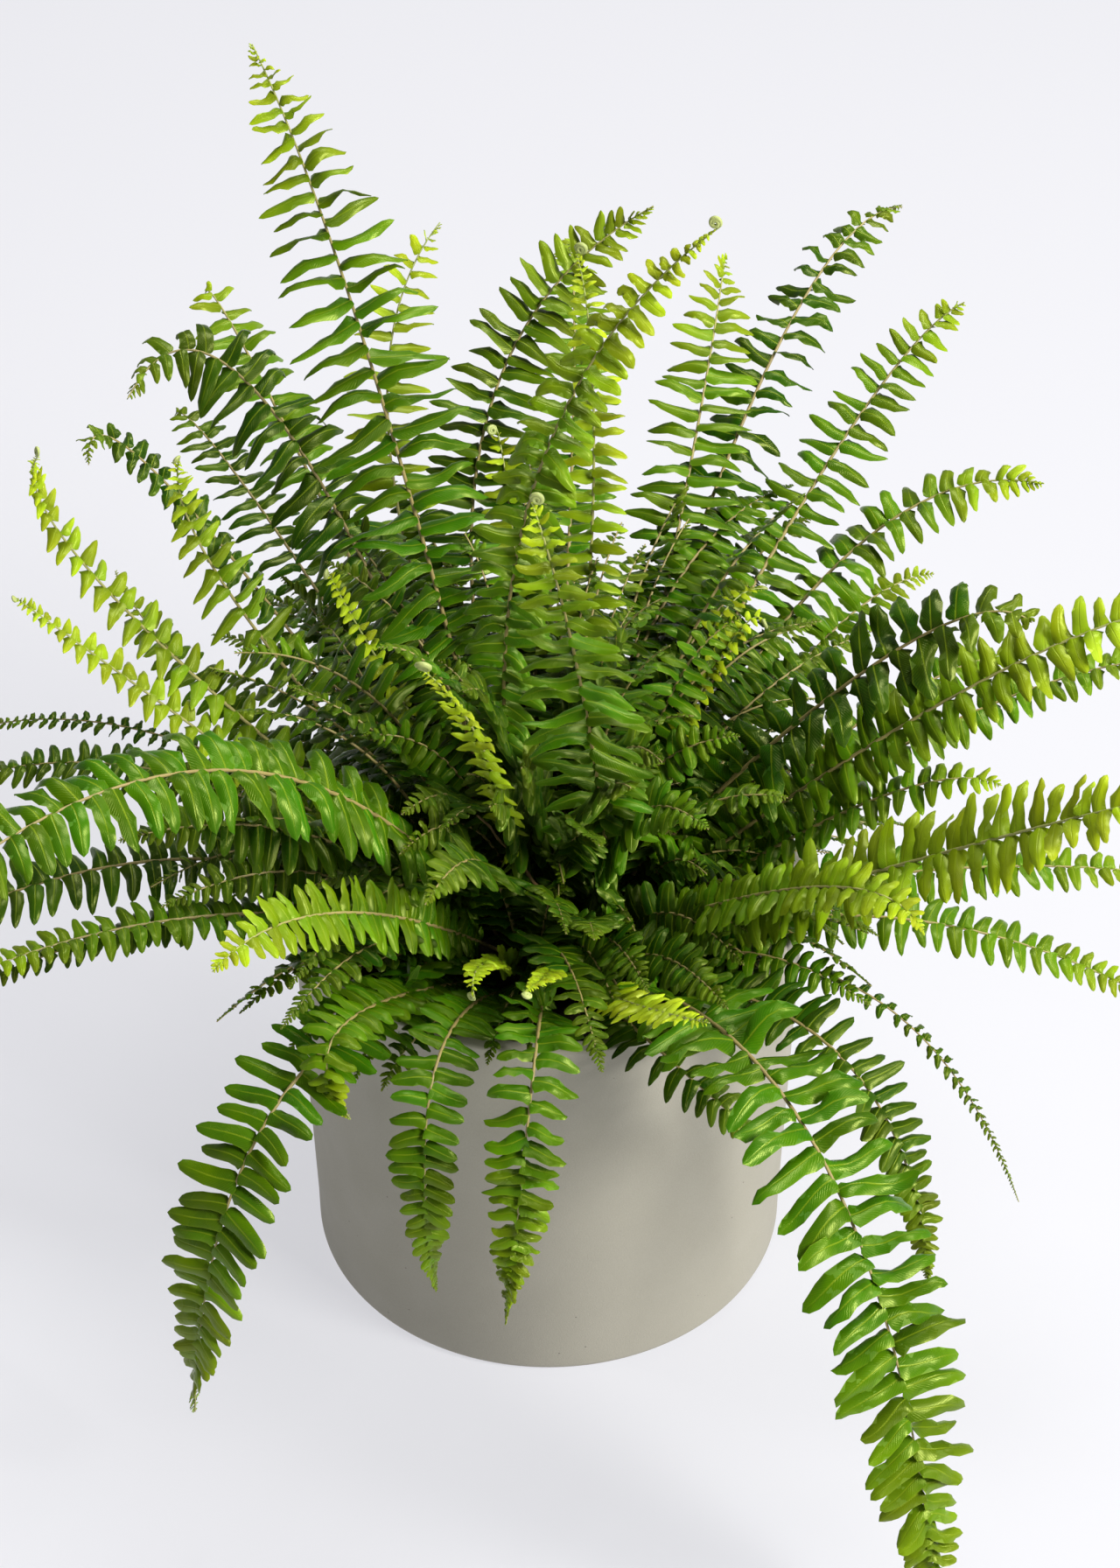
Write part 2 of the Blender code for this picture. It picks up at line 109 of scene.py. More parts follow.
# How a frond's leaflets differ from the usual: margins more or less wavy, ends that droop or
# curl back, faces turned up to the sky rather than along the blade, the whole blade turned to the
# light, gaps between them, blunt or pointed outline, how quickly they shorten towards the frond's
# tip, and their width, length and youth
USUAL = {
    "wavy": 1.0,
    "droop": 1.0,
    "curl": 1.0,
    "skyward": 0.78,
    "lit": 0.25,
    "gap": 1.0,
    "blunt": 1.0,
    "taper": 2.4,
    "wide": 1.0,
    "long": 1.0,
    "youth": None,
}
SMALL_FRONT = {
    "youth": (0.1, 0.4, 0.7, 1.0), "gap": 1.1, "wavy": 1.6, "taper": 1.6, "long": 0.75, "lit": 0.0,
}
HABIT = {
    "tallest_frond": {
        "taper": 1.9, "droop": 1.2, "skyward": 0.88, "wavy": 1.8, "long": 1.12, "wide": 0.85,
        "youth": (0.0, 0.0, 0.15, 0.9),
    },
    "centre_near_frond": {
        "skyward": 0.6, "gap": 1.2, "droop": 2.0, "blunt": 1.4, "taper": 3.2, "long": 0.9,
        "youth": (0.0, 0.0, 0.25, 0.95), "wavy": 1.8,
    },
    "centre_yellow_frond": {
        "gap": 1.2, "taper": 1.9, "skyward": 0.9, "wide": 1.15, "youth": (0.0, 0.25, 0.85, 1.0),
    },
    "centre_front_frond": {
        "gap": 1.2, "taper": 1.9, "skyward": 0.8, "lit": 0.1, "droop": 0.9, "long": 1.1,
        "blunt": 1.2, "wide": 0.9, "youth": (0.0, 0.0, 0.12, 1.0), "wavy": 1.6,
    },
    "centre_short_frond": {"gap": 1.2},
    "centre_dark_frond": {
        "wavy": 1.2, "droop": 0.8, "taper": 4.0, "gap": 0.85, "long": 1.15,
        "youth": (0.0, 0.0, 0.1, 0.5),
    },
    "back_left_light_frond": {
        "gap": 1.15, "taper": 4.0, "skyward": 0.85, "long": 1.4, "youth": (0.0, 0.2, 0.7, 1.0),
    },
    "back_left_pale_frond": {"gap": 1.1, "taper": 3.0, "droop": 1.3, "long": 1.3},
    "back_left_arching_frond": {"wavy": 1.5, "droop": 2.2, "taper": 2.6, "long": 1.1, "wide": 0.9},
    "back_straight_frond": {"taper": 3.6, "skyward": 0.85, "gap": 0.9},
    "back_right_dark_frond": {"wavy": 2.2, "droop": 1.4, "gap": 1.15, "taper": 2.6},
    "back_right_frond": {"taper": 2.4},
    "back_right_arching_frond": {"wavy": 1.2, "droop": 1.7, "taper": 3.0},
    "back_right_small_frond": {"gap": 1.2, "youth": PALE},
    "left_pale_frond": {
        "gap": 1.35, "taper": 1.7, "skyward": 0.85, "long": 1.3, "blunt": 0.7,
        "youth": (0.0, 0.08, 0.4, 1.0),
    },
    "left_far_pale_frond": {
        "gap": 1.45, "taper": 1.7, "skyward": 0.85, "long": 1.2, "wide": 1.1, "blunt": 0.65,
        "youth": (0.0, 0.3, 0.6, 1.0),
    },
    "left_yellow_frond": {
        "gap": 1.3, "taper": 1.7, "wide": 1.1, "blunt": 0.65, "youth": (0.1, 0.35, 0.7, 1.0),
    },
    "left_curled_frond": {"wavy": 2.2, "droop": 1.5, "gap": 1.1},
    "left_near_frond": {
        "wavy": 1.8, "droop": 1.5, "curl": 1.5, "skyward": 0.6, "lit": 0.35, "blunt": 1.5,
        "taper": 3.4, "long": 1.08, "youth": (0.0, 0.0, 0.0, 0.15),
    },
    "left_thin_frond": {"wavy": 2.0, "droop": 1.6, "gap": 1.5},
    "left_low_thin_frond": {"wavy": 1.2, "droop": 1.4, "gap": 1.2},
    "left_bright_frond": {
        "blunt": 1.3, "droop": 0.6, "lit": 0.8, "skyward": 0.4, "youth": (0.0, 0.08, 0.3, 0.9),
        "taper": 3.0,
    },
    "front_left_hanging_frond": {
        "droop": 0.0, "curl": 1.4, "wavy": 0.9, "skyward": 0.35, "blunt": 2.0, "taper": 4.5,
        "gap": 1.05, "long": 1.05, "youth": (0.0, 0.0, 0.08, 0.4),
    },
    "front_left_short_frond": {"droop": 0.2, "curl": 1.6, "taper": 2.6, "blunt": 1.6},
    "front_hanging_frond_left": {
        "droop": 0.05, "curl": 2.0, "wavy": 0.9, "skyward": 0.45, "blunt": 2.0, "taper": 4.0,
        "gap": 1.1, "long": 1.0, "youth": (0.0, 0.0, 0.05, 0.3),
    },
    "front_hanging_frond_right": {
        "droop": 0.1, "curl": 2.0, "wavy": 1.8, "skyward": 0.65, "taper": 3.6, "blunt": 1.7,
        "gap": 1.15, "long": 1.0, "youth": (0.0, 0.0, 0.08, 0.4),
    },
    "front_right_hanging_frond": {
        "droop": 0.1, "curl": 2.2, "wavy": 2.2, "skyward": 0.65, "blunt": 1.8, "taper": 4.5,
        "wide": 0.95, "long": 1.08, "youth": (0.0, 0.0, 0.05, 0.35),
    },
    "front_right_dark_frond": {"droop": 0.1, "curl": 2.0, "taper": 3.0, "blunt": 1.5},
    "front_right_thin_frond": {"wavy": 2.0, "droop": 2.0, "gap": 1.6},
    "front_young_frond": {
        "youth": (0.3, 0.6, 0.9, 1.0), "wide": 0.85, "long": 0.85, "gap": 1.2, "taper": 1.8,
    },
    "front_small_frond_left": SMALL_FRONT,
    "front_small_frond_right": SMALL_FRONT,
    "right_near_frond": {
        "skyward": 0.35, "lit": 0.55, "droop": 0.4, "curl": 1.6, "youth": (0.1, 0.4, 0.65, 0.9),
        "taper": 3.0, "wavy": 1.6, "blunt": 1.3, "long": 0.88,
    },
    "right_bright_frond": {
        "droop": 0.5, "skyward": 0.45, "lit": 0.5, "curl": 1.6, "wide": 1.15, "blunt": 1.4,
        "youth": (0.0, 0.15, 0.5, 1.0),
    },
    "right_far_yellow_frond": {
        "gap": 1.1, "droop": 0.6, "skyward": 0.4, "lit": 0.55, "curl": 1.5,
        "youth": (0.0, 0.1, 0.6, 1.0), "taper": 3.0, "wide": 1.15, "wavy": 1.5,
    },
    "right_dark_frond": {
        "wavy": 2.8, "droop": 1.4, "skyward": 0.3, "lit": 0.5, "blunt": 1.5, "gap": 1.25,
        "long": 1.1, "wide": 1.2,
    },
    "right_young_frond": {"youth": PALE, "gap": 1.2},
    "young_curled_frond": {
        "youth": (0.1, 0.4, 0.8, 1.0), "gap": 1.35, "wide": 0.85, "long": 0.85, "blunt": 0.7,
        "wavy": 2.0, "lit": 0.0,
    },
    "young_thin_frond": {"youth": PALE, "gap": 1.2},
}

# Short fronds that fill the heart: how many, steepness from the level in degrees, length in
# metres, and how far up the crown they stand, as a share from its edge
FILLERS = (
    (44, (6, 32), (0.08, 0.125), (0.0, 0.15)),
    (48, (26, 55), (0.09, 0.15), (0.1, 0.5)),
    (34, (50, 78), (0.12, 0.18), (0.4, 0.9)),
    (60, (15, 60), (0.06, 0.10), (0.05, 0.8)),
)
FILLER_HABIT = {**USUAL, "blunt": 1.5, "taper": 2.0, "youth": (0.0, 0.0, 0.03, 0.15)}
HEART_PIECES_PER_TONE = 4
# Those that reach this far out clear the rim by so much
FILLER_OVERRIM, FILLER_RIM_FROM = 0.012, 0.08
# Less steep ones grow longer to the rear and to the left, and the flattest leave the front open
FILLER_REAR_GAIN, FILLER_LEFT_GAIN, FILLER_UPRIGHT = 0.45, 0.42, 50
FILLER_LEFT = np.radians(212)
FILLER_FLATTEST, FILLER_FRONT_SINE = 10, -0.9


# ---------------------------------------------------------------- settings


class FernPlanterSettings(bpy.types.PropertyGroup):
    """Sizes and colours of the planter, its soil and the crown."""

    wall: bpy.props.FloatProperty(
        name="Wall", description="Thickness of the planter's wall", default=0.008, unit="LENGTH"
    )
    taper: bpy.props.FloatProperty(
        name="Taper", description="Rim radius minus base radius", default=0.005, unit="LENGTH"
    )
    floor: bpy.props.FloatProperty(
        name="Floor", description="Thickness of the planter's floor", default=0.012, unit="LENGTH"
    )
    stoneware: bpy.props.FloatVectorProperty(
        name="Stoneware",
        description="Body colour",
        subtype="COLOR", size=4, default=(0.372, 0.352, 0.287, 1),
    )
    speck: bpy.props.FloatVectorProperty(
        name="Speck", description="Dark grains", subtype="COLOR", size=4, default=(0.10, 0.095, 0.08, 1)
    )
    soil: bpy.props.FloatVectorProperty(
        name="Soil", description="Moist mix", subtype="COLOR", size=4, default=(0.008, 0.006, 0.004, 1)
    )
    bark: bpy.props.FloatVectorProperty(
        name="Bark", description="Bark chips", subtype="COLOR", size=4, default=(0.028, 0.018, 0.009, 1)
    )


class FernLeafSettings(bpy.types.PropertyGroup):
    """Sizes and colours of the fronds."""

    ribbon_share: bpy.props.FloatProperty(
        name="Ribbon share", description="Frame ribbon's half width over leaflet length", default=0.55
    )
    rib_radius: bpy.props.FloatProperty(
        name="Rib radius",
        description="Radius of a big frond's rib at its base",
        default=0.0012, unit="LENGTH",
    )
    thickness: bpy.props.FloatProperty(
        name="Leaf thickness", description="Thickness at the midvein", default=0.00035, unit="LENGTH"
    )
    dark: bpy.props.FloatVectorProperty(
        name="Dark leaf",
        description="Old fronds",
        subtype="COLOR", size=4, default=(0.011, 0.054, 0.001, 1),
    )
    mid: bpy.props.FloatVectorProperty(
        name="Mid leaf",
        description="Grown fronds",
        subtype="COLOR", size=4, default=(0.033, 0.116, 0.001, 1),
    )
    young: bpy.props.FloatVectorProperty(
        name="Young leaf",
        description="New growth",
        subtype="COLOR", size=4, default=(0.40, 0.50, 0.012, 1),
    )
    vein: bpy.props.FloatVectorProperty(
        name="Vein",
        description="Veins and margins",
        subtype="COLOR", size=4, default=(0.23, 0.31, 0.012, 1),
    )
    rib_brown: bpy.props.FloatVectorProperty(
        name="Brown rib",
        description="Rib of old fronds",
        subtype="COLOR", size=4, default=(0.32, 0.25, 0.085, 1),
    )
    rib_green: bpy.props.FloatVectorProperty(
        name="Green rib",
        description="Rib of new fronds",
        subtype="COLOR", size=4, default=(0.40, 0.46, 0.14, 1),
    )


class FernStageSettings(bpy.types.PropertyGroup):
    """Camera, light and floor."""

    distance: bpy.props.FloatProperty(
        name="Distance", description="Camera in front of the planter's axis", default=1.244, unit="LENGTH"
    )
    height: bpy.props.FloatProperty(
        name="Height", description="Camera above the floor", default=1.273, unit="LENGTH"
    )
    pitch: bpy.props.FloatProperty(
        name="Pitch", description="Camera's downward tilt", default=np.radians(38.92), unit="ROTATION"
    )
    yaw: bpy.props.FloatProperty(
        name="Yaw", description="Camera's turn to the right", default=np.radians(0.26), unit="ROTATION"
    )
    lens: bpy.props.FloatProperty(
        name="Lens", description="Focal length on a 36 mm long side, in mm", default=80.4
    )
    floor_colour: bpy.props.FloatVectorProperty(
        name="Floor", description="Pale floor", subtype="COLOR", size=4, default=(0.22, 0.22, 0.225, 1)
    )
    floor_glow: bpy.props.FloatVectorProperty(
        name="Floor glow",
        description="Even light of the floor",
        subtype="COLOR", size=4, default=(0.59, 0.59, 0.625, 1),
    )


# ---------------------------------------------------------------- mesh helpers


def new_mesh(name, points, polygons, smooth_angle=None):
    """A mesh from an array of points and a list of index arrays, one row for each face."""
    mesh = bpy.data.meshes.new(name)
    mesh.vertices.add(len(points))
    mesh.vertices.foreach_set("co", np.asarray(points, np.float32).ravel())
    corners = np.concatenate([rows.ravel() for rows in polygons]).astype(np.int32)
    sizes = np.concatenate([np.full(len(rows), rows.shape[1]) for rows in polygons])
    mesh.loops.add(len(corners))
    mesh.loops.foreach_set("vertex_index", corners)
    mesh.polygons.add(len(sizes))
    mesh.polygons.foreach_set("loop_start", np.concatenate([[0], np.cumsum(sizes)[:-1]]).astype(np.int32))
    mesh.update(calc_edges=True)
    mesh.validate()
    mesh.shade_smooth()
    if smooth_angle is not None:
        mesh.set_sharp_from_angle(angle=np.radians(smooth_angle))
    return mesh


def add_piece(name, mesh, materials, node=None):
    """Links the piece, gives it its materials, and lets it ride on the root body."""
    obj = bpy.data.objects.new(name, mesh)
    bpy.context.scene.collection.objects.link(obj)
    for finish in materials:
        mesh.materials.append(finish)
    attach(obj, "root")
    if node:
        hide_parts(node)
    return obj


def set_attribute(mesh, name, values, domain="POINT"):
    """Stores one number for each corner point, or for each face."""
    layer = mesh.attributes.new(name, "FLOAT", domain)
    layer.data.foreach_set("value", np.asarray(values, np.float32).ravel())


def unit(vectors):
    """Each vector over its own length."""
    return vectors / np.maximum(np.linalg.norm(vectors, axis=-1, keepdims=True), 1e-12)


def dot(a, b):
    """Sum of products over the last axis, which is kept."""
    return np.sum(a * b, axis=-1, keepdims=True)


def tube_faces(rings, sides, start=0):
    """Quads between rings of a tube whose corners turn from side to face, plus its two end caps."""
    index = start + np.arange(rings * sides).reshape(rings, sides)
    nxt = np.roll(index, -1, axis=1)
    quads = np.stack([index[:-1], index[1:], nxt[1:], nxt[:-1]], axis=-1).reshape(-1, 4)
    return quads, index[:1], index[-1:, ::-1]


def value_noise(points, scale, seed):
    """Smooth noise from -1 to 1: a few sine waves in seeded directions, summed over two octaves."""
    rng = np.random.default_rng(seed)
    total = np.zeros(points.shape[:-1])
    for octave, weight in ((1.0, 0.62), (2.3, 0.38)):
        waves = unit(rng.normal(size=(6, 3))) * scale * octave * rng.uniform(0.7, 1.3, (6, 1))
        phases = rng.uniform(0, 2 * np.pi, 6)
        total += weight * np.mean(np.sin(points @ waves.T + phases), axis=-1) * 2.0
    return np.clip(total, -1, 1)


# ---------------------------------------------------------------- shader helpers


class Nodes:
    """Short names for adding and joining shader nodes in one tree."""

    def __init__(self, tree):
        self.tree = tree

    def add(self, kind, **values):
        node = self.tree.nodes.new(kind)
        for key, value in values.items():
            setattr(node, key, value)
        return node

    def feed(self, socket, value):
        if isinstance(value, bpy.types.NodeSocket):
            self.tree.links.new(value, socket)
        else:
            socket.default_value = value

    def maths(self, operation, a, b=0.0, c=None, clamp=False):
        node = self.add("ShaderNodeMath", operation=operation, use_clamp=clamp)
        self.feed(node.inputs[0], a)
        self.feed(node.inputs[1], b)
        if c is not None:
            self.feed(node.inputs[2], c)
        return node.outputs[0]

    def mix(self, share, a, b, blend="MIX"):
        node = self.add("ShaderNodeMix", data_type="RGBA", blend_type=blend)
        self.feed(node.inputs["Factor"], share)
        self.feed(node.inputs["A"], a)
        self.feed(node.inputs["B"], b)
        return node.outputs["Result"]

    def ramp(self, value, low, high, to_low=0.0, to_high=1.0):
        node = self.add("ShaderNodeMapRange", interpolation_type="SMOOTHSTEP")
        self.feed(node.inputs["Value"], value)
        for key, number in (("From Min", low), ("From Max", high), ("To Min", to_low), ("To Max", to_high)):
            self.feed(node.inputs[key], number)
        return node.outputs["Result"]

    def noise(self, where, scale, detail=3.0, roughness=0.55):
        node = self.add("ShaderNodeTexNoise")
        self.feed(node.inputs["Vector"], where)
        self.feed(node.inputs["Scale"], scale)
        self.feed(node.inputs["Detail"], detail)
        self.feed(node.inputs["Roughness"], roughness)
        return node.outputs["Fac"]

    def attribute(self, name):
        return self.add("ShaderNodeAttribute", attribute_name=name).outputs["Fac"]


def new_group(name, inputs, outputs):
    """An empty shader group with named sockets; returns its tree and the two ends."""
    tree = bpy.data.node_groups.new(name, "ShaderNodeTree")
    for label, kind in inputs:
        tree.interface.new_socket(name=label, in_out="INPUT", socket_type=kind)
    for label, kind in outputs:
        tree.interface.new_socket(name=label, in_out="OUTPUT", socket_type=kind)
    return tree, tree.nodes.new("NodeGroupInput"), tree.nodes.new("NodeGroupOutput")


def new_material(name):
    """A material with its Principled shader and a Nodes helper."""
    made = bpy.data.materials.new(name)
    made.use_nodes = True
    nodes = Nodes(made.node_tree)
    return made, nodes, made.node_tree.nodes["Principled BSDF"]


def place_group(nodes, tree, **values):
    """Places a shader group and feeds its inputs; an underscore stands for a space."""
    node = nodes.add("ShaderNodeGroup")
    node.node_tree = tree
    for label, value in values.items():
        nodes.feed(node.inputs[label.replace("_", " ")], value)
    return node


def relief(nodes, surface, height, strength, distance):
    """Fine relief: the height feeds a Bump node, which feeds the surface's normal."""
    bump = nodes.add("ShaderNodeBump")
    bump.inputs["Strength"].default_value = strength
    bump.inputs["Distance"].default_value = distance
    nodes.feed(bump.inputs["Height"], height)
    nodes.feed(surface.inputs["Normal"], bump.outputs["Normal"])


def mottle_group():
    """Cloudy colour variation and fine grain, both from Object coordinates."""
    if "mottle" in bpy.data.node_groups:
        return bpy.data.node_groups["mottle"]
    colour, value = "NodeSocketColor", "NodeSocketFloat"
    tree, start, end = new_group(
        "mottle",
        (
            ("Color", colour),
            ("Cloud Scale", value),
            ("Cloud", value),
            ("Grain Scale", value),
            ("Grain", value),
        ),
        (("Color", colour), ("Grain", value)),
    )
    nodes = Nodes(tree)
    where = nodes.add("ShaderNodeTexCoord").outputs["Object"]
    cloud = nodes.noise(where, start.outputs["Cloud Scale"], 4.0)
    grain = nodes.noise(where, start.outputs["Grain Scale"], 2.0, 0.7)
    cloudy = nodes.maths("MULTIPLY", nodes.maths("SUBTRACT", cloud, 0.5), start.outputs["Cloud"])
    grainy = nodes.maths("MULTIPLY", nodes.maths("SUBTRACT", grain, 0.5), start.outputs["Grain"])
    level = nodes.maths("ADD", nodes.maths("ADD", cloudy, grainy), 1.0)
    scaled = nodes.add("ShaderNodeVectorMath", operation="SCALE")
    nodes.feed(scaled.inputs[0], start.outputs["Color"])
    nodes.feed(scaled.inputs["Scale"], level)
    nodes.feed(end.inputs["Color"], scaled.outputs["Vector"])
    nodes.feed(end.inputs["Grain"], grain)
    return tree


def leaflet_group():
    """Leaflet surface: age with painted shade darkening each leaflet's base, tint per leaflet, midvein,
    side veins, margins and paler underside.
    """
    if "leaflet_surface" in bpy.data.node_groups:
        return bpy.data.node_groups["leaflet_surface"]
    colour, value = "NodeSocketColor", "NodeSocketFloat"
    tree, start, end = new_group(
        "leaflet_surface",
        (("Grown", colour), ("Young", colour), ("Vein", colour)),
        (("Color", colour), ("Roughness", value), ("Height", value)),
    )
    nodes = Nodes(tree)
    where = nodes.add("ShaderNodeTexCoord").outputs["Object"]
    age, tint, under = (nodes.attribute(name) for name in ("age", "tint", "under"))
    uv = nodes.add("ShaderNodeSeparateXYZ")
    nodes.feed(uv.inputs[0], nodes.add("ShaderNodeUVMap", uv_map="leaf").outputs["UV"])
    along, across = uv.outputs["X"], nodes.maths("ABSOLUTE", nodes.maths("SUBTRACT", uv.outputs["Y"], 0.5))
    cloud = nodes.noise(where, 55.0, 3.0)
    fine = nodes.noise(where, 900.0, 2.0)

    # young colour grows stronger from each leaflet's base to its tip: partly young growth, and partly
    # painted shade that keeps the base by the rib darker
    youth_with_painted_base_shade = nodes.maths("MULTIPLY", age, nodes.maths("MULTIPLY_ADD", along, 0.7, 0.7))
    patches = nodes.maths("MULTIPLY", nodes.maths("SUBTRACT", cloud, 0.5), 0.25)
    youth = nodes.maths("ADD", youth_with_painted_base_shade, patches, clamp=True)
    colour_now = nodes.mix(youth, start.outputs["Grown"], start.outputs["Young"])
    shade = nodes.add("ShaderNodeHueSaturation")
    nodes.feed(shade.inputs["Color"], colour_now)
    nodes.feed(shade.inputs["Hue"], nodes.maths("MULTIPLY_ADD", tint, 0.024, 0.488))
    nodes.feed(shade.inputs["Saturation"], nodes.maths("MULTIPLY_ADD", cloud, 0.08, 0.96))
    nodes.feed(shade.inputs["Value"], nodes.maths("MULTIPLY_ADD", tint, 0.50, 0.75))
    colour_now = shade.outputs["Color"]

    # fine side veins run outwards and forwards from the midvein
    phase = nodes.maths("MULTIPLY_ADD", along, 22.0, nodes.maths("MULTIPLY", across, -9.0))
    wave = nodes.maths("SINE", nodes.maths("MULTIPLY", phase, 6.2832))
    veins = nodes.ramp(wave, 0.35, 1.0)
    colour_now = nodes.mix(nodes.maths("MULTIPLY", veins, 0.10), colour_now, start.outputs["Vein"])
    midvein = nodes.ramp(across, 0.012, 0.055, 1.0, 0.0)
    fade = nodes.ramp(along, 0.45, 1.0, 0.55, 0.05)
    colour_now = nodes.mix(nodes.maths("MULTIPLY", midvein, fade), colour_now, start.outputs["Vein"])
    margin = nodes.ramp(across, 0.42, 0.50, 0.0, 0.22)
    colour_now = nodes.mix(margin, colour_now, start.outputs["Vein"])

    pale = nodes.add("ShaderNodeHueSaturation")
    nodes.feed(pale.inputs["Color"], colour_now)
    pale.inputs["Saturation"].default_value = 0.93
    pale.inputs["Value"].default_value = 1.30
    colour_now = nodes.mix(nodes.maths("MULTIPLY", under, 0.8), colour_now, pale.outputs["Color"])
    nodes.feed(end.inputs["Color"], colour_now)

    rough = nodes.maths("MULTIPLY_ADD", cloud, 0.18, 0.19)
    nodes.feed(end.inputs["Roughness"], nodes.maths("MULTIPLY_ADD", under, 0.22, rough))
    raised = nodes.maths("MULTIPLY_ADD", veins, -0.5, nodes.maths("MULTIPLY", fine, 0.35))
    nodes.feed(end.inputs["Height"], nodes.maths("MULTIPLY_ADD", midvein, -1.0, raised))
    return tree


def leaf_material(tone, grown, young, vein):
    """Glossy leaf of one tone: the leaflet group's colour, roughness and relief."""
    name = tone.replace("leaf", "foliage")
    if name in bpy.data.materials:
        return bpy.data.materials[name]
    made, nodes, surface = new_material(name)
    leaf = place_group(nodes, leaflet_group(), Grown=grown, Young=young, Vein=vein)
    nodes.feed(surface.inputs["Base Color"], leaf.outputs["Color"])
    nodes.feed(surface.inputs["Roughness"], leaf.outputs["Roughness"])
    relief(nodes, surface, leaf.outputs["Height"], 0.35, 0.0004)
    surface.inputs["Specular IOR Level"].default_value = 0.45
    surface.inputs["Specular Tint"].default_value = (0.84, 0.94, 0.25, 1)
    return made


def rib_material():
    """Brown to green rib by age, streaked along its length."""
    if "frond_rib" in bpy.data.materials:
        return bpy.data.materials["frond_rib"]
    look = bpy.context.scene.fern_leaf
    made, nodes, surface = new_material("frond_rib")
    blend = nodes.mix(nodes.attribute("age"), tuple(look.rib_brown), tuple(look.rib_green))
    mottled = place_group(
        nodes, mottle_group(), Color=blend, Cloud_Scale=70.0, Cloud=0.7, Grain_Scale=1400.0, Grain=0.5
    )
    nodes.feed(surface.inputs["Base Color"], mottled.outputs["Color"])
    relief(nodes, surface, mottled.outputs["Grain"], 0.4, 0.0003)
    surface.inputs["Roughness"].default_value = 0.5
    return made


def mottled_material(name, colour, roughness, cloud, grain, bump_distance):
    """A matte material: one colour with clouds and grain, and the grain as relief."""
    if name in bpy.data.materials:
        return bpy.data.materials[name]
    made, nodes, surface = new_material(name)
    (cloud_scale, cloud_share), (grain_scale, grain_share) = cloud, grain
    mottled = place_group(
        nodes,
        mottle_group(),
        Color=colour,
        Cloud_Scale=cloud_scale,
        Cloud=cloud_share,
        Grain_Scale=grain_scale,
        Grain=grain_share,
    )
    nodes.feed(surface.inputs["Base Color"], mottled.outputs["Color"])
    relief(nodes, surface, mottled.outputs["Grain"], 0.6, bump_distance)
    surface.inputs["Roughness"].default_value = roughness
    return made


def stoneware_material(look):
    """Fine sandy stoneware: clouds, grain, and sparse dark specks and pinholes."""
    made, nodes, surface = new_material("stoneware")
    mottled = place_group(
        nodes,
        mottle_group(),
        Color=tuple(look.stoneware),
        Cloud_Scale=14.0,
        Cloud=0.16,
        Grain_Scale=1500.0,
        Grain=0.22,
    )
    where = nodes.add("ShaderNodeTexCoord").outputs["Object"]
    cells = nodes.add("ShaderNodeTexVoronoi")
    nodes.feed(cells.inputs["Vector"], where)
    cells.inputs["Scale"].default_value = 130.0
    dot_mask = nodes.ramp(cells.outputs["Distance"], 0.03, 0.075, 1.0, 0.0)
    rare = nodes.ramp(nodes.noise(where, 33.0, 1.0), 0.56, 0.62)
    specks = nodes.maths("MULTIPLY", dot_mask, rare)
    share = nodes.maths("MULTIPLY", specks, 0.75)
    nodes.feed(surface.inputs["Base Color"], nodes.mix(share, mottled.outputs["Color"], tuple(look.speck)))
    nodes.feed(surface.inputs["Roughness"], nodes.ramp(nodes.noise(where, 40.0), 0.2, 0.8, 0.58, 0.78))
    relief(nodes, surface, nodes.maths("SUBTRACT", mottled.outputs["Grain"], specks), 0.5, 0.00022)
    return made


# ---------------------------------------------------------------- turned shapes


def turned_mesh(name, profile, sides, bump=None):
    """A solid of revolution: radius and height along the profile, turned once about Z.

    The profile runs from the axis underneath, up the outside and back to the axis.
    """
    profile = np.asarray(profile, float)
    angle = np.linspace(0, 2 * np.pi, sides, endpoint=False)
    rings = profile[1:-1]
    points = np.empty((len(rings), sides, 3))
    points[..., 0] = rings[:, :1] * np.cos(angle)
    points[..., 1] = rings[:, :1] * np.sin(angle)
    points[..., 2] = rings[:, 1:]
    if bump is not None:
        points = bump(points)
    flat = points.reshape(-1, 3)
    low = np.array([[0, 0, profile[0, 1]]])
    high = np.array([[0, 0, profile[-1, 1] if bump is None else points[-1, :, 2].mean()]])
    index = np.arange(len(flat)).reshape(len(rings), sides)
    nxt = np.roll(index, -1, axis=1)
    quads = np.stack([index[:-1], nxt[:-1], nxt[1:], index[1:]], axis=-1).reshape(-1, 4)
    centre_low, centre_high = len(flat), len(flat) + 1
    bottom = np.stack([nxt[0], index[0], np.full(sides, centre_low)], axis=-1)
    top = np.stack([index[-1], nxt[-1], np.full(sides, centre_high)], axis=-1)
    return new_mesh(name, np.concatenate([flat, low, high]), [quads, bottom, top], 40)


def arc(centre, radius, start, end, steps):
    """Points on a circle: its centre plus the radius times cosine and sine, angles in degrees."""
    angle = np.radians(np.linspace(start, end, steps))
    return np.stack([centre[0] + radius * np.cos(angle), centre[1] + radius * np.sin(angle)], axis=-1)


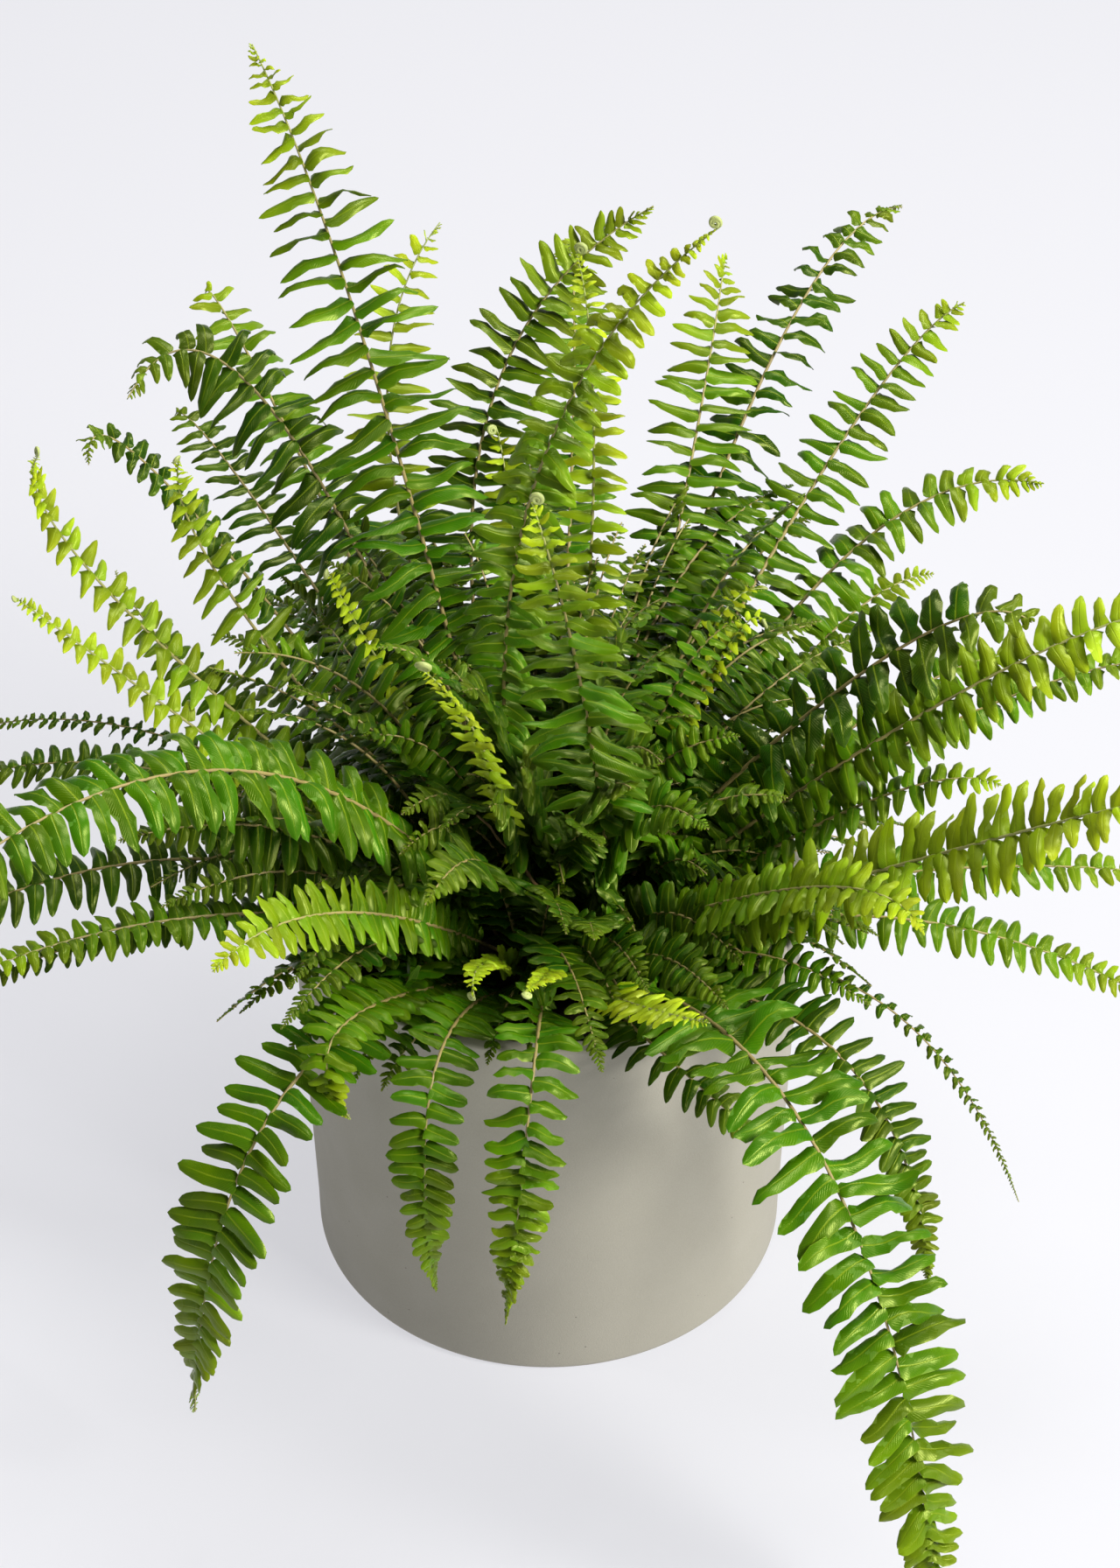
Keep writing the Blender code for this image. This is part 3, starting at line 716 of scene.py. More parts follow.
class OBJECT_OT_fern_planter(bpy.types.Operator):
    """Builds the planter: a turned shell with a rounded foot and a soft flat rim"""

    bl_idname = "object.fern_planter"
    bl_label = "Planter"

    def execute(self, context):
        look = context.scene.fern_planter
        low, high = (np.array(corner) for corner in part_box("pot"))
        rim_radius, height = (high[0] - low[0]) / 2, high[2]
        base_radius = rim_radius - look.taper
        foot, lip = 0.004, 0.0016
        wall = look.wall
        outside = np.linspace((base_radius + 0.0001, 0.02), (rim_radius - 0.0001, height - 0.01), 8)
        inner_rim = rim_radius - wall
        inner_foot = base_radius + look.taper * look.floor / height - wall
        inside = np.linspace((inner_rim, height - 0.01), (inner_foot, look.floor + 0.004), 6)
        profile = np.concatenate(
            [
                [(0, 0), (base_radius * 0.5, 0)],
                arc((base_radius - foot, foot), foot, -90, 0, 9),
                outside,
                arc((rim_radius - lip, height - lip), lip, 0, 90, 7),
                arc((inner_rim + lip, height - lip), lip, 90, 180, 7),
                inside,
                [(inner_foot - 0.004, look.floor), (0, look.floor)],
            ]
        )
        mesh = turned_mesh("planter", profile, 192)
        add_piece("planter", mesh, [stoneware_material(look)], "pot")
        return {"FINISHED"}


def chip_cloud(centres, sizes, rng):
    """Small angular chips: a squashed eight-cornered block at each centre, turned at random."""
    corners = np.array([(x, y, z) for z in (-1, 1) for y in (-1, 1) for x in (-1, 1)], float)
    shape = corners * rng.uniform(0.55, 1.0, (len(centres), 8, 3)) * sizes[:, None, :]
    turn = unit(rng.normal(size=(len(centres), 4)))
    w, x, y, z = turn.T
    rotation = np.stack(
        [
            np.stack([1 - 2 * (y * y + z * z), 2 * (x * y - z * w), 2 * (x * z + y * w)], axis=-1),
            np.stack([2 * (x * y + z * w), 1 - 2 * (x * x + z * z), 2 * (y * z - x * w)], axis=-1),
            np.stack([2 * (x * z - y * w), 2 * (y * z + x * w), 1 - 2 * (x * x + y * y)], axis=-1),
        ],
        axis=-2,
    )
    points = np.einsum("nij,nkj->nki", rotation, shape) + centres[:, None, :]
    quads = np.array([(0, 2, 3, 1), (4, 5, 7, 6), (0, 1, 5, 4), (2, 6, 7, 3), (0, 4, 6, 2), (1, 3, 7, 5)])
    faces = (np.arange(len(centres))[:, None, None] * 8 + quads).reshape(-1, 4)
    return points.reshape(-1, 3), faces


class OBJECT_OT_fern_soil(bpy.types.Operator):
    """Builds the potting mix with a lumpy top, and the bark chips that lie on it"""

    bl_idname = "object.fern_soil"
    bl_label = "Soil"

    def execute(self, context):
        look = context.scene.fern_planter
        low, high = (np.array(corner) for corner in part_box("potting_soil"))
        radius, top = (high[0] - low[0]) / 2, high[2]
        taper = look.taper * (top - low[2]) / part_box("pot")[1][2]

        def lumpy(points):
            """Two scales of noise on the top, none at the wall."""
            away = np.hypot(points[..., 0], points[..., 1]) / radius
            lumps = value_noise(points, 420, 3) * 0.0022 + value_noise(points, 1400, 4) * 0.0009
            settle = np.where(points[..., 2] > top - 0.006, 1.0, 0.0) * (away < 0.995)
            points[..., 2] += lumps * settle - 0.0012 * settle
            return points

        radii = np.linspace(1.0, 0.02, 46)[:, None] * (radius, 0)
        surface = radii + [(0, top - 0.003)] + (1 - radii[:, :1] / radius) * np.array([(0, 0.003)])
        profile = np.concatenate([[(0, low[2]), (radius - taper, low[2])], surface, [(0, top)]])
        mesh = turned_mesh("potting_soil_mix", profile, 160, lumpy)
        soil = mottled_material("potting_mix", tuple(look.soil), 0.92, (180.0, 1.0), (900.0, 1.2), 0.0012)
        add_piece("potting_soil_mix", mesh, [soil], "potting_soil")

        rng = np.random.default_rng(17)
        count = 900
        crown_radius = (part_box("rhizome_crown")[1][0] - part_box("rhizome_crown")[0][0]) / 2
        away = np.sqrt(rng.uniform((crown_radius * 0.9) ** 2, (radius - 0.005) ** 2, count))
        angle = rng.uniform(0, 2 * np.pi, count)
        level = np.full(count, top - 0.0024)
        centres = np.stack([away * np.cos(angle), away * np.sin(angle), level], axis=-1)
        sizes = rng.uniform((0.0010, 0.0007, 0.0004), (0.0042, 0.0022, 0.0011), (count, 3))
        points, faces = chip_cloud(centres, sizes, rng)
        chips = mottled_material("bark_chip", tuple(look.bark), 0.85, (260.0, 1.5), (1600.0, 0.8), 0.0006)
        add_piece("bark_chips", new_mesh("bark_chips", points, [faces], 30), [chips])
        return {"FINISHED"}


STUB_RINGS, STUB_SIDES = 5, 6


class OBJECT_OT_fern_crown(bpy.types.Operator):
    """Builds the crown: a knobbly dome of rhizome with stubs of old fronds"""

    bl_idname = "object.fern_crown"
    bl_label = "Crown"

    def execute(self, context):
        look = context.scene.fern_planter
        low, high = (np.array(corner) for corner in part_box("rhizome_crown"))
        radius, foot, height = (high[0] - low[0]) / 2, low[2], high[2] - low[2]

        def dome(share):
            """Height of the dome: full on the axis, less the square of the share of the radius."""
            return foot + 0.002 + (height - 0.002) * (1 - share**2)

        def knobbly(points):
            """Two scales of noise, never below the foot."""
            lumps = value_noise(points, 300, 8) * 0.0030 + value_noise(points, 900, 9) * 0.0014
            points[..., 2] = np.maximum(points[..., 2] + lumps * (points[..., 2] > foot + 0.001), foot)
            return points

        share = np.linspace(1.0, 0.02, 34)
        skin = np.stack([share * radius, dome(share)], axis=-1)
        profile = np.concatenate([[(0, foot), (radius, foot)], skin, [(0, foot + height)]])
        bark = mottled_material("rhizome", tuple(look.bark), 0.9, (150.0, 1.6), (800.0, 1.2), 0.0012)
        add_piece("crown", turned_mesh("crown", profile, 120, knobbly), [bark], "rhizome_crown")

        rng = np.random.default_rng(23)
        count = 150
        away = np.sqrt(rng.uniform(0, 1, count)) * radius * 0.96
        angle = rng.uniform(0, 2 * np.pi, count)
        base = np.stack([away * np.cos(angle), away * np.sin(angle), dome(away / radius) - 0.002], axis=-1)
        lean = np.stack([np.cos(angle), np.sin(angle), np.zeros(count)], axis=-1)
        grow = unit(UP + lean * (away / radius)[:, None] * 1.1 + rng.normal(0, 0.25, (count, 3)))
        side = unit(np.cross(grow, rng.normal(size=(count, 3))))
        face = np.cross(side, grow)
        turn = np.linspace(0, 2 * np.pi, STUB_SIDES, endpoint=False)
        circle = side[:, None] * np.cos(turn)[:, None] + face[:, None] * np.sin(turn)[:, None]
        length = rng.uniform(0.006, 0.020, (count, 1, 1, 1))
        levels = np.array((0.0, 0.35, 0.7, 0.94, 1.0))[None, :, None, None]
        girth = np.array((0.0023, 0.0020, 0.0015, 0.0012, 0.0007))[None, :, None, None]
        spine = base[:, None, None] + grow[:, None, None] * levels * length
        points = (spine + circle[:, None] * girth * rng.uniform(0.7, 1.2, (count, 1, 1, 1))).reshape(-1, 3)
        quads, *caps = tube_faces(STUB_RINGS, STUB_SIDES)
        shift = np.arange(count)[:, None, None] * STUB_RINGS * STUB_SIDES
        faces = [(quads + shift).reshape(-1, 4)] + [(cap + shift).reshape(-1, STUB_SIDES) for cap in caps]
        add_piece("old_stubs", new_mesh("old_stubs", points, faces, 50), [bark])
        return {"FINISHED"}


# ---------------------------------------------------------------- fronds


class Rib:
    """A frond's rib as smooth functions of its share from base to tip: place, side and face."""

    def __init__(self, shares, places, sides):
        self.place = [np.polyfit(shares, places[:, k], 2) for k in range(3)]
        self.shares, self.sides = shares, sides

    def at(self, share):
        """Place, forward tangent, side and face at the given shares."""
        share = np.asarray(share, float)
        place = np.stack([np.polyval(c, share) for c in self.place], axis=-1)
        ahead = unit(np.stack([np.polyval(np.polyder(c), share) for c in self.place], axis=-1))
        side = np.stack([np.interp(share, self.shares, self.sides[:, k]) for k in range(3)], axis=-1)
        side = unit(side - ahead * dot(side, ahead))
        return place, ahead, side, np.cross(side, ahead)


RING_EDGES = ((0, 1), (1, 2), (2, 0))


def rib_from_node(node):
    """Reads a frame ribbon: rings of three corners, grouped by their walk from the base ring.

    The two corners furthest apart in a ring are its edges, and the third is its ridge.
    """
    mesh = frame["nodes"][node].data
    points = np.empty(len(mesh.vertices) * 3)
    mesh.vertices.foreach_get("co", points)
    corners = np.empty(len(mesh.loops), int)
    mesh.loops.foreach_get("vertex_index", corners)
    points, back = np.unique(np.round(points.reshape(-1, 3), 6), axis=0, return_inverse=True)
    faces = back.reshape(-1)[corners].reshape(-1, 3)
    count = len(points)
    joined = np.zeros((count, count), bool)
    for a, b in RING_EDGES:
        joined[faces[:, a], faces[:, b]] = joined[faces[:, b], faces[:, a]] = True
    rings = [list(find_base_ring(points, joined))]
    used = np.zeros(count, bool)
    used[rings[0]] = True
    while not used.all():
        reach = np.flatnonzero(joined[rings[-1]].any(axis=0) & ~used)
        if len(reach) != 3:
            raise RuntimeError(f"a ring of {node} has {len(reach)} corners, not 3")
        rings.append(list(reach))
        used[reach] = True
    places, corners_of, halves = [], [], []
    for ring in rings:
        spans = [(np.linalg.norm(points[ring[a]] - points[ring[b]]), a, b) for a, b in RING_EDGES]
        _, a, b = max(spans)
        ridge = points[ring[3 - a - b]]
        left, right = points[ring[a]], points[ring[b]]
        places.append((left + right) / 2)
        corners_of.append((left, right, ridge))
        halves.append(np.linalg.norm(left - right) / 2)
    return places, corners_of, halves


def find_base_ring(points, joined):
    """The end cap that stands on the crown: the closest three joined corners about the nearest one."""
    crown_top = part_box("rhizome_crown")[1][2]
    first = np.argmin(np.linalg.norm(points - UP * crown_top, axis=1))
    near = np.flatnonzero(joined[first])
    trios = [(first, a, b) for a in near for b in near if a < b and joined[a, b]]
    return min(trios, key=lambda trio: np.linalg.norm(points[list(trio)] - points[first], axis=1).sum())


def frond_rib(node, lit):
    """The rib and the greatest leaflet length of a frame ribbon.

    Its upper face looks to the light's side, and the blade turns the share `lit` of the way to it.
    """
    places, corners, halves = rib_from_node(node)
    places = np.array(places)
    shares = np.linspace(0, 1, len(places))
    ahead = unit(np.gradient(places, axis=0))
    sides = []
    for (left, right, ridge), forward, place in zip(corners, ahead, places):
        side = unit(right - left)
        face = ridge - place
        if np.dot(np.cross(side, forward), face) < 0:
            side = -side
        sides.append(side)
    light = unit(WINDOW - ahead * dot(WINDOW, ahead))
    faces = np.cross(sides, ahead)
    if dot(faces, light).mean() < 0:
        faces = -faces
    sides = unit(np.cross(ahead, faces * (1 - lit) + light * lit))
    length = max(halves) / bpy.context.scene.fern_leaf.ribbon_share
    return Rib(shares, places, sides), length


def leaflet_lengths(share, bare, taper):
    """Share of the greatest leaflet length along the rib: short at the stipe, full, then tapering."""
    rise = np.clip((share - bare) / 0.22, 0, 1)
    fall = np.clip((share - 0.38) / 0.62, 0, 1)
    return (0.45 + 0.55 * np.sin(rise * np.pi / 2)) * (1 - fall**taper) * 0.95 + 0.05


LEAF_STATIONS = np.array((0.0, 0.05, 0.16, 0.32, 0.50, 0.68, 0.83, 0.94, 1.0))
# Corners of a leaflet's section: five across the top, then the keel under the midvein
LEAF_ACROSS = np.array((-1.0, -0.5, 0.0, 0.5, 1.0, 0.0))
LEAF_CORNERS = len(LEAF_ACROSS)
LEAF_KEEL = LEAF_CORNERS - 1
RIB_RINGS, RIB_SIDES, COIL_RINGS = 40, 7, 34


def leaflet_points(base, ahead, out, face, length, width, sign, habit, rng):
    """Every leaflet of a frond as one array: leaflets x stations x corners of the section.

    A leaflet's midvein starts along `out`, sweeps towards the frond's tip, bends down and curls away
    from the face. Its half width narrows evenly from the base and closes in a rounded end, the
    root of one less a power of the share along it, pinched at the base with an ear on the forward
    side. The section is convex on top, and its margins wave up and down along the leaflet.
    """
    count, wavy, droop, skyward = len(base), habit["wavy"], habit["droop"], habit["skyward"]
    u = LEAF_STATIONS[None, :, None]

    def spread(low, high):
        """One even random number for each leaflet."""
        return rng.uniform(low, high, (count, 1, 1))

    sweep = spread(0.10, 0.35)
    hang = spread(0.45, 1.15) * droop
    curl = spread(0.05, 0.35) * habit["curl"]
    lift = spread(0.0, 0.38)
    grow = unit(out[:, None] + face[:, None] * lift)
    path = grow + ahead[:, None] * sweep * u - UP * hang * u**1.5 - face[:, None] * curl * u**1.6
    path = path + UP * spread(0.05, 0.30) * wavy * np.sin(2 * np.pi * (u * spread(0.6, 1.1) + spread(0, 1)))
    forward = unit(path)
    step = np.diff(LEAF_STATIONS)[None, :, None]
    middle = (forward[:, 1:] + forward[:, :-1]) / 2 * step
    spine = np.concatenate([np.zeros((count, 1, 3)), np.cumsum(middle, axis=1)], axis=1)
    spine = base[:, None] + spine * length[:, None, None]

    facing = unit(face * (1 - skyward) + UP * skyward)[:, None]
    upper = unit(facing - forward * dot(facing, forward))
    across = np.cross(upper, forward)
    twist = spread(-0.20, 0.20) + spread(-0.55, 0.55) * u * wavy * 0.6
    twist += (spread(0.05, 0.22) * np.sin(2 * np.pi * (u * spread(0.7, 1.3) + spread(0, 1)))) * wavy
    cosine, sine = np.cos(twist), np.sin(twist)
    across, upper = across * cosine + upper * sine, upper * cosine - across * sine

    point = 3.0 * habit["blunt"]
    outline = (1 - 0.26 / habit["blunt"] * u) * np.sqrt(np.clip(1 - u**point, 0.0002, 1))
    outline = outline * (1 - 0.42 * np.exp(-u / 0.035))
    ragged = 1 + rng.uniform(-0.05, 0.05, (count, len(LEAF_STATIONS), 1))
    half = outline * ragged * width[:, None, None] / 2
    v = LEAF_ACROSS[None, None, :]
    ear = 1 + 0.45 * np.exp(-(((u - 0.05) / 0.09) ** 2)) * (v * sign[:, None, None] > 0)
    reach = half * v * ear
    cup = spread(0.25, 0.75)
    wave = 0.15 * np.sin(2 * np.pi * (u * spread(1.6, 2.6) + spread(0, 1))) * wavy
    height = half * (-cup * v**2 + wave * np.abs(v) + 0.10 * np.abs(v) ** 0.5)
    depth = bpy.context.scene.fern_leaf.thickness + 0.00008
    height = height - depth * (np.arange(LEAF_CORNERS) == LEAF_KEEL)
    return spine[:, :, None] + across[:, :, None] * reach[..., None] + upper[:, :, None] * height[..., None]


def leaflet_faces(count, start):
    """Quads between each two stations of every leaflet, one to a corner, and its two end caps."""
    stations = len(LEAF_STATIONS)
    quads, *caps = tube_faces(stations, LEAF_CORNERS)
    shift = start + np.arange(count)[:, None, None] * stations * LEAF_CORNERS
    return [(quads + shift).reshape(-1, 4)] + [(cap + shift).reshape(-1, LEAF_CORNERS) for cap in caps]


def rib_tube(rib, radius, coil):
    """Centre line, frame and radius of the rib: a tapering tube that may end in a flat coil.

    The coil turns towards the face, one and seven tenths times, on a shrinking radius.
    """
    share = np.linspace(0, 1, RIB_RINGS)
    place, ahead, side, face = rib.at(share)
    width = radius * (1 - 0.72 * share)
    if coil:
        turn = np.linspace(0, 3.4 * np.pi, COIL_RINGS)[1:]
        winding = coil * (1 - 0.72 * turn / turn[-1])
        tip, forward, across, facing = place[-1], ahead[-1], side[-1], face[-1]
        centre = tip + facing * coil
        onward, inward = (np.sin(turn) * winding)[:, None], (np.cos(turn) * winding)[:, None]
        spiral = centre + forward * onward - facing * inward
        along = unit(np.gradient(spiral, axis=0))
        place = np.concatenate([place, spiral])
        ahead = np.concatenate([ahead, along])
        side = np.concatenate([side, np.tile(across, (len(turn), 1))])
        face = np.cross(side, ahead)
        swell = coil * 0.40 * np.interp(turn, (0, 2.0, turn[-1]), (0.5, 1.0, 1.0))
        width = np.concatenate([width, np.maximum(swell, width[-1])])
    angle = np.linspace(0, 2 * np.pi, RIB_SIDES, endpoint=False)
    circle = side[:, None] * np.cos(angle)[:, None] + face[:, None] * np.sin(angle)[:, None]
    return place[:, None] + circle * width[:, None, None], len(place)


def build_frond(rib, greatest, tone, habit, coil, seed, bare=0.07):
    """Points, faces and surface values of one frond: its rib and both rows of leaflets."""
    rng = np.random.default_rng(seed)
    look = bpy.context.scene.fern_leaf
    fine = np.linspace(bare, 1.0, 600)
    place = rib.at(fine)[0]
    greatest = greatest * habit["long"]
    lengths = greatest * leaflet_lengths(fine, bare, habit["taper"])
    spacing = np.minimum(0.50 * lengths + 0.0006, 0.0040 + 0.215 * lengths) * habit["gap"]
    run = np.concatenate([[0], np.cumsum(np.linalg.norm(np.diff(place, axis=0), axis=1) / spacing[1:])])
    pairs = int(run[-1])
    order = np.concatenate([np.arange(pairs) + 0.25, np.arange(pairs) + 0.75])
    sign = np.repeat((1.0, -1.0), pairs)
    share = np.interp(order + rng.normal(0, 0.05, len(order)), run, fine)
    base, ahead, side, face = rib.at(share)
    length = greatest * leaflet_lengths(share, bare, habit["taper"]) * rng.uniform(0.88, 1.08, len(share))
    broad = np.minimum(0.52 * length, 0.0036 + 0.195 * length)
    width = broad * rng.uniform(0.9, 1.1, len(share)) * habit["wide"]
    lean = np.interp(share, (0, 0.3, 0.8, 1.0), (-0.12, 0.02, 0.20, 0.85)) + rng.normal(0, 0.07, len(share))
    out = unit(side * sign[:, None] + ahead * lean[:, None])
    base = base + face * 0.0004
    leaves = leaflet_points(base, ahead, out, face, length, width, sign, habit, rng)
    count = len(share)
    tube, rings = rib_tube(rib, look.rib_radius * min(1.0, 0.45 + greatest * 22), coil)
    tube_start = count * leaves.shape[1] * LEAF_CORNERS
    quads, first, last = tube_faces(rings, RIB_SIDES, tube_start)
    points = np.concatenate([leaves.reshape(-1, 3), tube.reshape(-1, 3)])
    faces = leaflet_faces(count, 0)

    ages = habit["youth"] or YOUTH_ALONG[tone]

    def age_at(where):
        """Age at each share, in straight lines between the four given ones."""
        return np.interp(where, YOUTH_SHARES, ages)

    per_leaf = np.ones((1, leaves.shape[1], LEAF_CORNERS))
    age = age_at(share)[:, None, None] * per_leaf
    tint = rng.uniform(0, 1, (count, 1, 1)) * per_leaf
    tube_share = np.minimum(np.linspace(0, rings / RIB_RINGS, rings), 1.0)
    tube_age = np.repeat(age_at(tube_share), RIB_SIDES)
    values = {
        "age": np.concatenate([age.ravel(), tube_age]),
        "tint": np.concatenate([tint.ravel(), np.full(rings * RIB_SIDES, 0.5)]),
    }
    u = np.broadcast_to(LEAF_STATIONS[None, :, None], leaves.shape[:3]).ravel()
    v = np.broadcast_to((LEAF_ACROSS[None, None, :] + 1) / 2, leaves.shape[:3]).ravel()
    tube_u = np.repeat(np.linspace(0, 1, rings), RIB_SIDES)
    tube_v = np.tile(np.linspace(0, 1, RIB_SIDES), rings)
    uv = np.stack([np.concatenate([u, tube_u]), np.concatenate([v, tube_v])], axis=-1)
    return points, faces, [quads, first, last], values, uv


def frond_mesh(name, parts):
    """One mesh from the parts of one or more fronds, with its surface values and its UV map."""
    points, leaf_faces, rib_faces, shift = [], [], [], 0
    for part in parts:
        points.append(part[0])
        leaf_faces.append([rows + shift for rows in part[1]])
        rib_faces.append([rows + shift for rows in part[2]])
        shift += len(part[0])
    leaf_rows = [np.concatenate(rows) for rows in zip(*leaf_faces)]
    rib_rows = [np.concatenate(rows) for rows in zip(*rib_faces)]
    mesh = new_mesh(name, np.concatenate(points), leaf_rows + rib_rows, 55)
    kinds = [len(rows) for rows in leaf_rows + rib_rows]
    is_rib = np.repeat((0, 0, 0, 1, 1, 1), kinds)
    mesh.polygons.foreach_set("material_index", is_rib.astype(np.int32))
    # a leaflet has six quads to a station gap, and the last two of each six are underneath
    under = np.zeros(len(is_rib))
    under[: kinds[0]] = np.tile((0, 0, 0, 0, 1, 1), kinds[0] // LEAF_CORNERS)
    set_attribute(mesh, "under", under, "FACE")
    for key in ("age", "tint"):
        set_attribute(mesh, key, np.concatenate([part[3][key] for part in parts]))
    uv = np.concatenate([part[4] for part in parts])
    corners = np.empty(len(mesh.loops), np.int32)
    mesh.loops.foreach_get("vertex_index", corners)
    layer = mesh.uv_layers.new(name="leaf")
    layer.data.foreach_set("uv", uv[corners].astype(np.float32).ravel())
    return mesh


def bezier(start, control, end, share):
    """Quadratic curve: the ends weighted by squared shares, the control by twice their product."""
    return (1 - share) ** 2 * start + 2 * share * (1 - share) * control + share**2 * end


def tone_materials(tone):
    """The leaf and rib materials of a frond; young ones share the grown colour of mid ones."""
    look = bpy.context.scene.fern_leaf
    grown = {"leaf_dark": look.dark, "leaf_mid": look.mid, "leaf_young": look.mid}[tone]
    vein = tuple(look.vein)
    return [leaf_material(tone, tuple(grown), tuple(look.young), vein), rib_material()]


class OBJECT_OT_fern_fronds(bpy.types.Operator):
    """Builds every frond on its frame ribbon: the rib, both rows of leaflets and any coiled tip"""

    bl_idname = "object.fern_fronds"
    bl_label = "Fronds"

    def execute(self, context):
        for number, node in enumerate(FROND_NODES):
            tone = NODE_SLOT[node]
            habit = {**USUAL, **HABIT.get(node, {})}
            rib, greatest = frond_rib(node, habit["lit"])
            part = build_frond(rib, greatest, tone, habit, COILED_TIPS.get(node, 0.0), 100 + number)
            mesh = frond_mesh(node + "_leaflets", [part])
            add_piece(node + "_leaflets", mesh, tone_materials(tone), node)
        return {"FINISHED"}


class OBJECT_OT_fern_heart(bpy.types.Operator):
    """Fills the heart of the plant with short fronds that rise and spread from the crown"""

    bl_idname = "object.fern_heart"
    bl_label = "Heart fronds"

    def execute(self, context):
        rng = np.random.default_rng(61)
        crown_low, crown_high = (np.array(corner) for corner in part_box("rhizome_crown"))
        edge, height = (crown_high[0] - crown_low[0]) / 2, crown_high[2] - crown_low[2]
        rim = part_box("pot")[1][2]
        groups = {"leaf_dark": [], "leaf_mid": []}
        for count, steepness, lengths, stands in FILLERS:
            for number in range(count):
                angle = 2 * np.pi * (number * 0.618 + rng.uniform(-0.05, 0.05))
                if steepness[0] < FILLER_FLATTEST and np.sin(angle) < FILLER_FRONT_SINE:
                    continue
                away = np.array((np.cos(angle), np.sin(angle), 0.0))
                out = edge * (1 - rng.uniform(*stands)) - 0.003
                start = away * out + UP * (crown_low[2] + height * (1 - (out / edge) ** 2) - 0.001)
                length, rise = rng.uniform(*lengths), np.radians(rng.uniform(*steepness))
                if steepness[0] < FILLER_UPRIGHT:
                    rear, left = max(np.sin(angle), 0.0), max(np.cos(angle - FILLER_LEFT), 0.0)
                    length *= 1 + FILLER_REAR_GAIN * rear + FILLER_LEFT_GAIN * left**4
                turn = rng.normal(0, 0.25)
                lead = np.array((np.cos(angle + turn), np.sin(angle + turn), 0.0))
                tip = start + (lead * np.cos(rise) + UP * np.sin(rise)) * length
                arch = length * rng.uniform(0.12, 0.24)
                middle = (start + tip) / 2 + UP * arch - lead * arch * 0.3
                if np.hypot(*middle[:2]) > FILLER_RIM_FROM:
                    middle[2] = max(middle[2], rim + FILLER_OVERRIM)
                places = bezier(start, 2 * middle - (start + tip) / 2, tip, np.linspace(0, 1, 9)[:, None])
                side = unit(np.cross(tip - start, UP) + rng.normal(0, 0.12, 3))
                rib = Rib(np.linspace(0, 1, 9), places, np.tile(side, (9, 1)))
                tone = "leaf_dark" if rng.uniform() < 0.8 else "leaf_mid"
                greatest = 0.010 + length * rng.uniform(0.045, 0.075)
                part = build_frond(rib, greatest, tone, FILLER_HABIT, 0.0, rng.integers(1 << 30), bare=0.05)
                groups[tone].append(part)
        for tone, parts in groups.items():
            for number in range(HEART_PIECES_PER_TONE):
                chosen = parts[number::HEART_PIECES_PER_TONE]
                name = f"heart_fronds_{tone.removeprefix('leaf_')}_{number + 1}"
                add_piece(name, frond_mesh(name, chosen), tone_materials(tone))
        return {"FINISHED"}


class OBJECT_OT_fern_dried_midrib(bpy.types.Operator):
    """Builds the bare dried midrib: a thin bent brown stem with the knots of its lost leaflets"""

    bl_idname = "object.fern_dried_midrib"
    bl_label = "Dried midrib"

    def execute(self, context):
        places, corners, _ = rib_from_node("dried_midrib")
        places = np.array(places)
        sides = np.array([unit(right - left) for left, right, _ in corners])
        rib = Rib(np.linspace(0, 1, len(places)), places, sides)
        rings, around = 60, 8
        share = np.linspace(0, 1, rings)
        place, _, side, face = rib.at(share)
        sideways, outwards = np.sin(share * 21.0)[:, None], np.sin(share * 13.0 + 1)[:, None]
        bend = sideways * side * 0.0007 + outwards * face * 0.0006
        knots = 1 + 0.35 * np.maximum(np.sin(share * 70.0), 0) ** 6
        width = 0.0011 * (1 - 0.55 * share) * knots
        angle = np.linspace(0, 2 * np.pi, around, endpoint=False)
        circle = side[:, None] * np.cos(angle)[:, None] + face[:, None] * np.sin(angle)[:, None]
        points = (place + bend)[:, None] + circle * width[:, None, None]
        faces = tube_faces(rings, around)
        colour = (0.16, 0.095, 0.035, 1)
        brown = mottled_material("dried_rib", colour, 0.7, (120.0, 1.2), (1500.0, 0.8), 0.0004)
        mesh = new_mesh("dried_rib", points.reshape(-1, 3), list(faces), 50)
        add_piece("dried_rib", mesh, [brown], "dried_midrib")
        return {"FINISHED"}


# ---------------------------------------------------------------- stage


